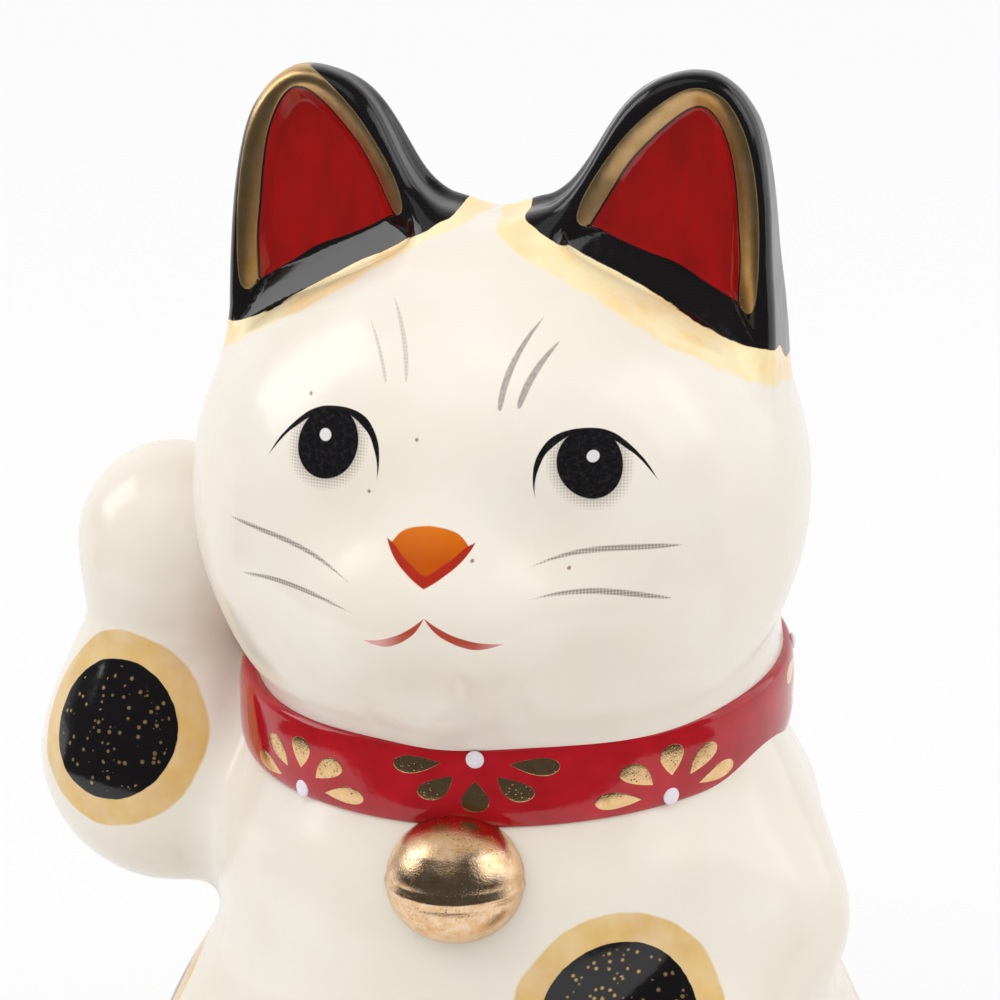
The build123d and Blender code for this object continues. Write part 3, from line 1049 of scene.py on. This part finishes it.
def nose_and_mouth(sheet, finish, glazes, x, z, front):
    """The orange nose on its red line, and the two strokes of the mouth."""
    u = abs(x + 0.44)
    top = u.drawn(NOSE_TOP, NOSE_REACH, NOSE_HEIGHT, NOSE_FLOOR)
    line_foot = u.drawn(NOSE_LINE_FOOT, NOSE_REACH, NOSE_HEIGHT, NOSE_FLOOR)
    line_top = u.drawn(NOSE_LINE_TOP, NOSE_REACH, NOSE_HEIGHT, NOSE_FLOOR)
    fill = (top - z).least(z - line_top + 0.1).least(4.3 - u).depth(0.12) * front
    shade = ((z - 1.5) * 0.25).clamped()
    orange = sheet.mix(shade, glazes.nose, (0.76, 0.2, 0.008))
    finish.paint(fill, orange, 0.14)
    line = (line_top - z).least(z - line_foot).least(4.3 - u).depth(0.12) * front
    finish.paint(line, glazes.nose_line, 0.16)
    left = x > -0.3
    out = abs(x + 0.3) / (1 + left * 0.14)
    down = (-3.5 - z) * (1 + left * 0.06)
    upper = out.drawn(MOUTH_UPPER, MOUTH_REACH, MOUTH_DROP)
    lower = out.drawn(MOUTH_LOWER, MOUTH_REACH, MOUTH_DROP)
    lip = (lower - down).least(down - upper).least(6.25 - out).least(down + 0.02).depth() * front
    fade = (out * 0.42 - 1.0 - left * 0.7).clamped()
    finish.paint(lip, sheet.mix(fade, glazes.lip_line, glazes.lip), 0.16)


def whiskers_and_brows(sheet, finish, glazes, x, z, front):
    """Grey printed strokes: four whiskers of dots and four brow marks."""
    ink = strokes(x, z, WHISKERS).depth(0.15) * front
    dots = printed_dots(x, z, ink * 0.62)
    finish.paint(ink * (0.3 + dots * 0.5), glazes.grey_ink)
    faint = strokes(x, z, FAINT_BROWS).depth(0.15)
    finish.paint(faint * front * (0.24 + 0.16 * printed_dots(x, z, faint * 0.5)), glazes.grey_ink)
    bold = strokes(x, z, BOLD_BROWS).depth(0.12)
    grain = sheet.noise(sheet.node("ShaderNodeCombineXYZ", {}, {0: x, 1: z}), 3.0, 2.0)
    finish.paint(bold * front * (0.42 + 0.5 * grain), glazes.grey_ink)


def iron_specks(finish, x, z, front):
    """Small brown specks under the glaze."""
    depth = -1.0
    for speck_x, speck_z in SPECKS:
        near = 0.17 - hypot(x - speck_x, z - speck_z)
        depth = near.most(depth)
    finish.paint(depth.depth(0.12) * front * 0.8, (0.22, 0.08, 0.04))


def head_material(glazes):
    """The head's glaze with the ears, the coat and the face on it."""
    material, sheet, shader = new_material("head_glaze")
    place = millimetres(sheet, head_centre())
    x, y, z = parts(sheet, place)
    finish = white_glaze(sheet, place, glazes)
    black = patches(sheet, finish, place, glazes.black, glazes.yellow, glazes.amber,
                    sheet.mark("black"), sheet.mark("yellow"))
    front = y < -12
    eyes(sheet, finish, glazes, x, z, front)
    nose_and_mouth(sheet, finish, glazes, x, z, front)
    whiskers_and_brows(sheet, finish, glazes, x, z, front)
    iron_specks(finish, x, z, front)
    red_mark, gold_mark = sheet.mark("ear_red"), sheet.mark("ear_gold")
    streaks = sheet.noise(sheet.node("ShaderNodeVectorMath", {"operation": "MULTIPLY"},
                                     {0: place, 1: (1.0, 1.0, 0.25)}), 0.5, 3.0)
    thicker = streaks.math("MULTIPLY_ADD", 2.0, -0.5, clamp=True)
    red = sheet.mix(thicker, glazes.ear_red, (0.24, 0.005, 0.005))
    finish.paint((-red_mark).depth(0.1) * black, red, streaks * 0.14 + 0.05, None, 0.01)
    tarnish = sheet.noise(place, 0.6, 3.0, 0.6).math("MULTIPLY_ADD", 2.0, -0.5, clamp=True)
    grain = sheet.noise(place, 6.0, 2.0)
    gold = sheet.mix(tarnish, glazes.old_gold, glazes.gold)
    band = ((-gold_mark).least(red_mark - 0.22)).depth(0.12) * black
    finish.paint(band, gold, grain * 0.1 + 0.32, 1.0, grain * 0.006 + 0.03)
    finish.fire(shader)
    return material


def body_material(glazes, body):
    """The body's glaze with its spots and its bare foot."""
    material, sheet, shader = new_material("body_glaze")
    place = millimetres(sheet)
    height = parts(sheet, place)[2]
    finish = white_glaze(sheet, place, glazes)
    mark = sheet.mark("black")
    black = patches(sheet, finish, place, glazes.black, glazes.ochre, glazes.brown_ochre,
                    mark, mark - body.ring)
    flakes = sheet.node("ShaderNodeTexVoronoi", {}, {"Vector": place, "Scale": 1.6}, "Distance")
    chosen = sheet.node("ShaderNodeSeparateColor", {}, {0: flakes.of("Color")})
    drift = sheet.noise(place, 0.35, 2.0)
    flecks = (0.3 - flakes).depth(0.2) * (chosen + drift > 1.14) * (mark < -0.7) * black
    finish.paint(flecks * 0.8, glazes.old_gold, 0.35, 1.0)
    foot = (0.35 - height).depth(0.3)
    grit = sheet.noise(place, 2.5, 4.0, 0.7)
    bare = sheet.mix(grit, glazes.clay, (0.5, 0.4, 0.3))
    finish.paint(foot, bare, 0.85, None, grit * 0.08)
    finish.fire(shader)
    return material


def collar_material(glazes):
    """Deep red enamel, a little uneven."""
    material, sheet, shader = new_material("collar_enamel")
    place = millimetres(sheet)
    clouds = sheet.noise(place, 0.3, 3.0)
    deeper = clouds.math("MULTIPLY_ADD", 2.0, -0.6, clamp=True)
    colour = sheet.mix(deeper, glazes.collar_red, (0.34, 0.006, 0.012))
    relief = sheet.noise(place, 0.45, 2.0) * 0.03 + sheet.noise(place, 2.2, 2.0) * 0.003
    finish = Finish(sheet, colour, sheet.noise(place, 0.8, 2.0) * 0.1 + 0.05, 0.0, relief)
    finish.fire(shader)
    return material


def gold_material(name, gold, roughness, relief):
    """Bright gold fired on enamel: nearly a mirror, with small pits and a grain of relief millimetres."""
    material, sheet, shader = new_material(name)
    place = millimetres(sheet)
    wear = sheet.noise(place, 1.0, 3.0, 0.6).math("MULTIPLY_ADD", 2.2, -0.7, clamp=True)
    colour = sheet.mix(wear, gold, (0.72, 0.44, 0.2))
    grain = sheet.noise(place, 5.0, 3.0, 0.7)
    pits = sheet.node("ShaderNodeTexVoronoi", {}, {"Vector": place, "Scale": 2.6}, "Distance")
    pit = (0.2 - pits).depth(0.2) * (sheet.noise(place, 0.5, 2.0) > 0.5)
    rough = grain.math("MULTIPLY_ADD", 0.14, roughness)
    finish = Finish(sheet, colour, rough, 1.0, grain * relief + sheet.noise(place, 0.8, 1.0) * 0.02)
    finish.paint(pit * 0.6, (0.2, 0.1, 0.04), 0.5, None, -0.02)
    finish.fire(shader)
    return material


def bead_material(glazes):
    """Pale glassy enamel with a few tiny bubbles."""
    material, sheet, shader = new_material("bead_enamel")
    place = millimetres(sheet)
    milk = sheet.noise(place, 1.2, 3.0)
    colour = sheet.mix(milk.math("MULTIPLY_ADD", 2.0, -0.6, clamp=True), glazes.bead, (0.86, 0.82, 0.86))
    bubbles = sheet.noise(place, 2.0, 2.0) * 0.02
    finish = Finish(sheet, colour, sheet.noise(place, 3.0, 2.0) * 0.1 + 0.06, 0.0, bubbles)
    finish.fire(shader)
    return material


def new_tree(name, inputs):
    """A geometry tree with named inputs: its sheet, its inputs' values by name and its output."""
    tree = bpy.data.node_groups.new(name, "GeometryNodeTree")
    for label, value in inputs.items():
        kind = "NodeSocketInt" if isinstance(value, int) else "NodeSocketFloat"
        tree.interface.new_socket(label, in_out="INPUT", socket_type=kind)
    tree.interface.new_socket("Geometry", in_out="OUTPUT", socket_type="NodeSocketGeometry")
    sheet = Sheet(tree)
    given = sheet.node("NodeGroupInput")
    return sheet, {label: given.of(label) for label in inputs}


def finish_tree(sheet, geometry, material):
    """Ends a geometry tree: instances made real, smooth faces and one material."""
    real = sheet.node("GeometryNodeRealizeInstances", {}, {"Geometry": geometry})
    smooth = sheet.node("GeometryNodeSetShadeSmooth", {}, {"Geometry": real})
    done = sheet.node("GeometryNodeSetMaterial", {}, {"Geometry": smooth, "Material": material})
    sheet.node("NodeGroupOutput", {}, {"Geometry": done})


def grown(name, tree, inputs):
    """An object with the plain mesh that a geometry tree makes."""
    host = bpy.data.objects.new(name, bpy.data.meshes.new(name))
    bpy.context.scene.collection.objects.link(host)
    modifier = host.modifiers.new("shape", "NODES")
    modifier.node_group = tree
    for item in tree.interface.items_tree:
        if item.in_out == "INPUT":
            modifier[item.identifier] = inputs[item.name]
    depsgraph = bpy.context.evaluated_depsgraph_get()
    mesh = bpy.data.meshes.new_from_object(host.evaluated_get(depsgraph))
    host.modifiers.remove(modifier)
    host.data = mesh
    return host


def collar_inputs(collar):
    """The inputs that the collar's trees share."""
    return {
        "Radius": collar.radius,
        "Half Width": collar.half_width,
        "Relief": collar.relief,
        "Squareness": collar.squareness,
        "Side": collar.side,
        "Height": head_centre()[2] * MM - collar.drop,
        "Side Slope": collar.side_slope,
        "Back Slope": collar.back_slope,
    }


def wrapped(sheet, given, angle, across, radius):
    """The place at an angle round the neck, across metres above the collar's middle plane."""
    x = given["Side"] + radius * angle.math("SINE")
    y = -(radius * angle.math("COSINE"))
    z = given["Height"] + given["Side Slope"] * x + given["Back Slope"] * y + across
    return sheet.node("ShaderNodeCombineXYZ", {}, {0: x, 1: y, 2: z})


def face_radius(given, across):
    """The radius of the band's face, across metres above its middle plane."""
    share_of_width = abs(across / given["Half Width"]).least(0.999)
    power = given["Squareness"]
    return given["Radius"] + given["Relief"] * (1 - share_of_width**power) ** power**-1.0


def own_parts(sheet):
    """The x, y and z of the geometry's own places."""
    return parts(sheet, sheet.node("GeometryNodeInputPosition"))


def collar_tree(collar, material):
    """The band: a rounded oblong section taken round the neck on a leaning plane."""
    inputs = {**collar_inputs(collar), "Sink": collar.sink, "Steps Round": 288, "Steps Section": 40}
    sheet, given = new_tree("collar_band", inputs)
    grid = sheet.node("GeometryNodeMeshGrid", {}, {
        "Size X": 2 * math.pi, "Size Y": 2 * math.pi,
        "Vertices X": given["Steps Round"] + 1, "Vertices Y": given["Steps Section"] + 1})
    angle, section, _ = own_parts(sheet)
    power = 2 * given["Squareness"] ** -1.0
    sine, cosine = section.math("SINE"), section.math("COSINE")
    across = given["Half Width"] * abs(sine) ** power * sine.math("SIGN")
    proud = abs(cosine) ** power
    outward = cosine > 0
    offset = proud * (outward * given["Relief"] - (1 - outward) * given["Sink"])
    place = wrapped(sheet, given, angle, across, given["Radius"] + offset)
    moved = sheet.node("GeometryNodeSetPosition", {}, {"Geometry": grid, "Position": place})
    closed = sheet.node("GeometryNodeMergeByDistance", {}, {"Geometry": moved, "Distance": 1e-6})
    finish_tree(sheet, closed, material)
    return sheet.tree, inputs


def flower_points(sheet, given):
    """One point for each half flower: its angle round the neck, and 1 on the top edge or -1 on the lower."""
    number = sheet.node("GeometryNodeInputIndex")
    step = number - (given["Flowers"] - 1) * 0.5
    set_back = given["Set Back"] * (abs(step) > 1.5) * (step.math("SIGN") * 2 - step * 0.5)
    side = 1 - 2 * (number.math("MODULO", 2.0))
    return given["Start"] + given["Pitch"] * step + set_back, side


def repeated(sheet, points, shape, rotation):
    """A real copy of the shape at each point."""
    sockets = {"Points": points, "Instance": shape, "Rotation": rotation}
    copies = sheet.node("GeometryNodeInstanceOnPoints", {}, sockets)
    return sheet.node("GeometryNodeRealizeInstances", {}, {"Geometry": copies})


def petals_tree(collar, material):
    """Gilt petals in half flowers along both edges of the band."""
    inputs = {
        **collar_inputs(collar), **flower_inputs(collar),
        "Petals": collar.petals, "Fan": collar.fan, "Petal Start": collar.petal_start,
        "Petal End": collar.petal_end, "Petal Width": collar.petal_width,
        "Petal Stretch": collar.petal_stretch, "Gold Relief": collar.gold_relief,
    }
    sheet, given = new_tree("collar_petals", inputs)
    ball_shape = sheet.node("GeometryNodeMeshIcoSphere", {}, {"Radius": 1.0, "Subdivisions": 4})
    x, y, z = own_parts(sheet)
    along = x.math("MULTIPLY_ADD", 0.5, 0.5)
    out = given["Petal Start"] + (given["Petal End"] - given["Petal Start"]) * along
    side = y * given["Petal Width"] * 0.62 * along.most(0.0) ** 0.55
    place = sheet.node("ShaderNodeCombineXYZ", {}, {0: out, 1: side, 2: z * given["Gold Relief"]})
    petal = sheet.node("GeometryNodeSetPosition", {}, {"Geometry": ball_shape, "Position": place})
    number = sheet.node("GeometryNodeInputIndex")
    fan = sheet.node("GeometryNodePoints", {}, {"Count": given["Petals"]})
    turned = given["Fan"] + number * (math.pi - 2 * given["Fan"]) / (given["Petals"] - 1)
    lean = sheet.node("ShaderNodeCombineXYZ", {}, {2: turned})
    flower = repeated(sheet, fan, petal, lean)
    x, y, z = own_parts(sheet)
    wide = sheet.node("ShaderNodeCombineXYZ", {}, {0: x * given["Petal Stretch"], 1: y, 2: z})
    flower = sheet.node("GeometryNodeSetPosition", {}, {"Geometry": flower, "Position": wide})
    angle, edge = flower_points(sheet, given)
    face = given["Radius"] + given["Relief"]
    heart = sheet.node("ShaderNodeCombineXYZ", {}, {
        0: angle * face, 1: edge * (given["Half Width"] - given["Heart Inset"])})
    hearts = sheet.node("GeometryNodePoints", {}, {"Count": given["Flowers"], "Position": heart})
    lean = sheet.node("ShaderNodeCombineXYZ", {}, {2: (edge + 1) * (math.pi / 2)})
    row = repeated(sheet, hearts, flower, lean)
    x, across, z = own_parts(sheet)
    place = wrapped(sheet, given, x / face, across, face_radius(given, across) + z)
    row = sheet.node("GeometryNodeSetPosition", {}, {"Geometry": row, "Position": place})
    finish_tree(sheet, row, material)
    return sheet.tree, inputs


def flower_inputs(collar):
    """The inputs that the petals and the beads share."""
    return {
        "Flowers": collar.flowers, "Pitch": collar.pitch, "Start": collar.start,
        "Heart Inset": collar.heart_inset, "Set Back": collar.set_back,
    }


def beads_tree(collar, material):
    """A drop of pale enamel at each half flower's heart."""
    inputs = {
        **collar_inputs(collar), **flower_inputs(collar),
        "Bead Radius": collar.bead_radius, "Bead Relief": collar.bead_relief,
    }
    sheet, given = new_tree("collar_beads", inputs)
    drop = sheet.node("GeometryNodeMeshIcoSphere", {}, {"Radius": given["Bead Radius"], "Subdivisions": 5})
    angle, edge = flower_points(sheet, given)
    across = edge * (given["Half Width"] - given["Heart Inset"])
    heart = wrapped(sheet, given, angle, across, face_radius(given, across))
    hearts = sheet.node("GeometryNodePoints", {}, {"Count": given["Flowers"], "Position": heart})
    turned = sheet.node("ShaderNodeCombineXYZ", {}, {2: angle})
    flatness = given["Bead Relief"] / given["Bead Radius"]
    flattened = sheet.node("ShaderNodeCombineXYZ", {}, {0: 1.0, 1: flatness, 2: 1.0})
    row = sheet.node("GeometryNodeInstanceOnPoints", {}, {
        "Points": hearts, "Instance": drop, "Rotation": turned, "Scale": flattened})
    finish_tree(sheet, row, material)
    return sheet.tree, inputs


def bell_profile(bell):
    """The bell's outline from foot to crown: two shallow cups crimped at the belt, and a stepped crown."""
    points = []
    for degrees in range(-90, 91, 3):
        lean = math.radians(degrees)
        radius, height = bell.radius * math.cos(lean), bell.half_height * math.sin(lean)
        crimp = bell.belt * math.exp(-((height / 0.28) ** 2))
        groove = 0.1 * math.exp(-(((abs(height) - 0.75) / 0.35) ** 2))
        step = 0.16 * smoothstep(height, bell.half_height * 0.55, bell.half_height * 0.68)
        points.append((radius + crimp - groove + float(step) * math.cos(lean), height + bell.height))
    for height in (-0.4, -0.2, 0.2, 0.4):
        radius = bell.radius * math.sqrt(1 - (height / bell.half_height) ** 2)
        points.append((radius + bell.belt * math.exp(-((height / 0.28) ** 2)), height + bell.height))
    points.sort(key=lambda point: point[1])
    points[0], points[-1] = (0.0, points[0][1]), (0.0, points[-1][1])
    return points


def add_mesh(name, corners, faces, marks, material):
    """An object with a smooth mesh, its corners in millimetres and its marks kept as attributes."""
    mesh = bpy.data.meshes.new(name)
    faces = faces.tolist() if isinstance(faces, np.ndarray) else faces
    mesh.from_pydata((np.asarray(corners) * MM).tolist(), [], faces)
    mesh.polygons.foreach_set("use_smooth", np.ones(len(faces), bool))
    for label, values in marks.items():
        mark = mesh.attributes.new(label, "FLOAT", "POINT")
        mark.data.foreach_set("value", np.asarray(values, np.float32))
    mesh.materials.append(material)
    mesh.update()
    piece = bpy.data.objects.new(name, mesh)
    bpy.context.scene.collection.objects.link(piece)
    return piece


def put_in_frame(piece, slot, *nodes):
    """A finished piece takes the place of its cast nodes."""
    if nodes:
        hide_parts(*nodes)
    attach(piece, "root")


def add_area_light(name, place, target, size, watts, plain, gloss):
    """A soft box that the camera doesn't see. It may light plain surfaces, show in glossy ones, or both."""
    lamp = bpy.data.lights.new(name, "AREA")
    lamp.shape = "RECTANGLE"
    lamp.size, lamp.size_y = size
    lamp.energy = watts
    light = bpy.data.objects.new(name, lamp)
    light.location = place
    light.rotation_euler = (Vector(target) - Vector(place)).to_track_quat("-Z", "Y").to_euler()
    light.visible_camera = False
    light.visible_diffuse = plain
    light.visible_glossy = gloss
    bpy.context.scene.collection.objects.link(light)


def add_camera(stage):
    """The camera, looking a little down at the head from the cat's left."""
    target = Vector(head_centre() * MM)
    side, lift = stage.azimuth, stage.elevation
    right = Vector((math.cos(side), math.sin(side), 0))
    toward = Vector((math.sin(side) * math.cos(lift), -math.cos(side) * math.cos(lift), math.sin(lift)))
    up = toward.cross(right)
    target = target - right * AIM_LEFT - up * AIM_DROP
    turned = Matrix.Rotation(stage.roll, 3, toward) @ Matrix((right, up, toward)).transposed()
    lens = bpy.data.cameras.new("camera")
    lens.lens, lens.sensor_width = stage.lens, 36
    lens.clip_start, lens.clip_end = 0.01, 50
    camera = bpy.data.objects.new("camera", lens)
    camera.matrix_world = Matrix.Translation(target + toward * (stage.distance * MM)) @ turned.to_4x4()
    bpy.context.scene.collection.objects.link(camera)
    bpy.context.scene.camera = camera


def add_table(stage):
    """A white table that runs far behind the figurine and keeps its shadow."""
    corners = [(x * TABLE_REACH, y * TABLE_REACH, 0) for x, y in ((-1, -1), (1, -1), (1, 1), (-1, 1))]
    table = add_mesh("table", corners, [(0, 1, 2, 3)], {}, white_backdrop(stage))


def white_backdrop(stage):
    """Matt white card that glows, so that it reads as white. Glossy surfaces see it as white only on the
    sheet round the figurine and behind it, and elsewhere as dim as the room."""
    material, sheet, shader = new_material("white_backdrop")
    place = millimetres(sheet)
    x, y, _ = parts(sheet, place)
    grain = sheet.noise(place, 0.02, 2.0).math("MULTIPLY_ADD", 0.02, -0.01)
    shade = sheet.mix(grain + 0.5, (0.78, 0.78, 0.78), (0.82, 0.82, 0.82))
    sheet.tree.links.new(shade.socket, shader.inputs["Base Color"])
    shader.inputs["Roughness"].default_value = 0.9
    path = sheet.node("ShaderNodeLightPath")
    gloss = path.of("Is Glossy Ray").most(path.of("Is Transmission Ray"))
    seen = path.of("Is Camera Ray").most(gloss)
    inside = (stage.sheet + y).least(stage.sheet_side - abs(x))
    near = (inside / SHEET_EDGE).math("MULTIPLY_ADD", 1.0, 0.5, clamp=True)
    white = near.most(y > SHEET_BACK).most(path.of("Is Camera Ray"))
    glow_colour = sheet.mix(white, (stage.room,) * 3, (1.0, 1.0, 1.0))
    glow = sheet.node("ShaderNodeEmission", {}, {"Color": glow_colour, "Strength": stage.backdrop})
    card = Value(sheet, shader.outputs["BSDF"])
    mixed = sheet.node("ShaderNodeMixShader", {}, {0: gloss.most(seen * CARD_GLOW), 1: card, 2: glow})
    output = sheet.tree.nodes["Material Output"]
    sheet.tree.links.new(mixed.socket, output.inputs["Surface"])
    return material


def light_room(stage):
    """A room that is white behind the figurine. Glossy surfaces see it dim in front, and plain ones get more
    light from above than from the sides."""
    world = bpy.data.worlds.new("studio")
    world.use_nodes = True
    bpy.context.scene.world = world
    sheet = Sheet(world.node_tree)
    direction = sheet.node("ShaderNodeTexCoord", {}, {}, "Generated")
    facing = sheet.node("ShaderNodeVectorMath", {"operation": "DOT_PRODUCT"},
                        {0: direction, 1: (math.sin(stage.azimuth), -math.cos(stage.azimuth), 0)}, "Value")
    near = facing.math("MULTIPLY_ADD", 2.0, 1.6, clamp=True)
    path = sheet.node("ShaderNodeLightPath")
    height = sheet.node("ShaderNodeSeparateXYZ", {}, {0: direction}).of(2)
    sky = height.most(0.0).math("MULTIPLY_ADD", 0.54, 0.5)
    plain = path.of("Is Diffuse Ray")
    gloss = 1 - near * (1 - stage.room)
    strength = gloss + plain * (sky - gloss)
    background = world.node_tree.nodes["Background"]
    sheet.tree.links.new(strength.socket, background.inputs["Strength"])
    background.inputs["Color"].default_value = (1, 1, 1, 1)


class FIGURINE_OT_add_head(bpy.types.Operator):
    """Make the head with its muzzle and ears, its coat and its painted face"""

    bl_idname = "figurine.add_head"
    bl_label = "Add Head"

    def execute(self, context):
        scene = context.scene
        head, collar = in_mm(scene.figurine_head), in_mm(scene.figurine_collar)
        centre = head_centre()
        low = centre + (-head.half_width - 3, -head.half_depth - 9, -collar.drop - 3.5)
        high = centre + (head.half_width + 3, head.half_depth + 6, 46)
        corners, faces = surface(lambda points: top_field(points, head, collar), low, high, head.facet)
        material = head_material(colours(scene.figurine_glazes))
        piece = add_mesh("head", corners, faces, head_marks(corners), material)
        put_in_frame(piece, "white_glaze", "head_shell", "ear_left", "ear_right")
        return {"FINISHED"}


class FIGURINE_OT_add_body(bpy.types.Operator):
    """Make the torso with its limbs, its tail and its spots"""

    bl_idname = "figurine.add_body"
    bl_label = "Add Body"

    def execute(self, context):
        scene = context.scene
        head, body = in_mm(scene.figurine_head), in_mm(scene.figurine_body)
        collar = in_mm(scene.figurine_collar)
        low, high = np.array(CAST_BOX) / MM
        high = np.array([high[0], high[1], 84.0])

        def field(points):
            return body_field(points, head, body, collar)

        corners, faces = surface(field, low - 2.5, high + 2.5, body.facet)
        material = body_material(colours(scene.figurine_glazes), body)
        piece = add_mesh("body", corners, faces, body_marks(corners), material)
        put_in_frame(piece, "white_glaze", "torso_shell", "raised_arm", "lowered_arm",
                     "haunch_left", "haunch_right", "hind_paw_left", "hind_paw_right", "tail")
        return {"FINISHED"}


class FIGURINE_OT_add_collar(bpy.types.Operator):
    """Make the red enamelled collar band"""

    bl_idname = "figurine.add_collar"
    bl_label = "Add Collar"

    def execute(self, context):
        scene = context.scene
        tree, inputs = collar_tree(scene.figurine_collar, collar_material(colours(scene.figurine_glazes)))
        put_in_frame(grown("collar", tree, inputs), "red_glaze", "collar_band")
        return {"FINISHED"}


class FIGURINE_OT_add_petals(bpy.types.Operator):
    """Make the gilt petals along both edges of the collar"""

    bl_idname = "figurine.add_petals"
    bl_label = "Add Petals"

    def execute(self, context):
        scene = context.scene
        material = gold_material("petal_gold", colours(scene.figurine_glazes).gold, 0.04, 0.012)
        tree, inputs = petals_tree(scene.figurine_collar, material)
        put_in_frame(grown("petals", tree, inputs), "gold_lustre")
        return {"FINISHED"}


class FIGURINE_OT_add_beads(bpy.types.Operator):
    """Make the enamel beads at the flowers' hearts"""

    bl_idname = "figurine.add_beads"
    bl_label = "Add Beads"

    def execute(self, context):
        scene = context.scene
        tree, inputs = beads_tree(scene.figurine_collar, bead_material(colours(scene.figurine_glazes)))
        put_in_frame(grown("beads", tree, inputs), "bead_enamel", "collar_beads")
        return {"FINISHED"}


class FIGURINE_OT_add_bell(bpy.types.Operator):
    """Make the moulded bell under the chin"""

    bl_idname = "figurine.add_bell"
    bl_label = "Add Bell"

    def execute(self, context):
        scene = context.scene
        bell = in_mm(scene.figurine_bell)
        corners, faces = lathe(bell_profile(bell), 96)
        corners = corners + (0, -bell.forward, 0)
        material = gold_material("bell_gold", colours(scene.figurine_glazes).bell_gold, 0.07, 0.03)
        piece = add_mesh("round_bell", corners, faces, {}, material)
        put_in_frame(piece, "gold_lustre", "bell")
        return {"FINISHED"}


class FIGURINE_OT_set_stage(bpy.types.Operator):
    """Set the white table, the soft light and the camera"""

    bl_idname = "figurine.set_stage"
    bl_label = "Set Stage"

    def execute(self, context):
        stage = in_mm(context.scene.figurine_stage)
        context.scene.view_settings.view_transform = "Standard"
        add_camera(stage)
        add_table(stage)
        light_room(stage)
        centre = Vector(head_centre() * MM)
        for name, offset, size, setting, plain, gloss in LAMPS:
            place = centre + Vector(offset)
            add_area_light(name, place, centre, size, getattr(stage, setting), plain, gloss)
        return {"FINISHED"}


class FIGURINE_PT_panel(bpy.types.Panel):
    """The figurine's sizes, colours and pieces"""

    bl_idname = "FIGURINE_PT_panel"
    bl_label = "Beckoning Cat Figurine"
    bl_space_type = "VIEW_3D"
    bl_region_type = "UI"
    bl_category = "Figurine"

    def draw(self, context):
        layout = self.layout
        for operator in OPERATORS:
            layout.operator(operator.bl_idname)
        for name in SETTINGS:
            group = getattr(context.scene, name)
            column = layout.column(align=True)
            column.label(text=name.replace("figurine_", "").title())
            for prop in group.bl_rna.properties:
                if prop.identifier in group.__annotations__:
                    column.prop(group, prop.identifier)


OPERATORS = (
    FIGURINE_OT_add_head,
    FIGURINE_OT_add_body,
    FIGURINE_OT_add_collar,
    FIGURINE_OT_add_petals,
    FIGURINE_OT_add_beads,
    FIGURINE_OT_add_bell,
    FIGURINE_OT_set_stage,
)
SETTINGS = {
    "figurine_head": FigurineHeadSizes,
    "figurine_body": FigurineBodySizes,
    "figurine_collar": FigurineCollarSizes,
    "figurine_bell": FigurineBellSizes,
    "figurine_glazes": FigurineGlazes,
    "figurine_stage": FigurineStageSettings,
}


def register():
    for group in SETTINGS.values():
        bpy.utils.register_class(group)
    for name, group in SETTINGS.items():
        setattr(bpy.types.Scene, name, bpy.props.PointerProperty(type=group))
    for operator in OPERATORS:
        bpy.utils.register_class(operator)
    bpy.utils.register_class(FIGURINE_PT_panel)


def unregister():
    bpy.utils.unregister_class(FIGURINE_PT_panel)
    for operator in reversed(OPERATORS):
        bpy.utils.unregister_class(operator)
    for name, group in reversed(SETTINGS.items()):
        delattr(bpy.types.Scene, name)
        bpy.utils.unregister_class(group)


def main():
    """Makes every piece in order."""
    register()
    bpy.ops.figurine.add_head()
    bpy.ops.figurine.add_body()
    bpy.ops.figurine.add_collar()
    bpy.ops.figurine.add_petals()
    bpy.ops.figurine.add_beads()
    bpy.ops.figurine.add_bell()
    bpy.ops.figurine.set_stage()


if __name__ == "__main__":
    main()
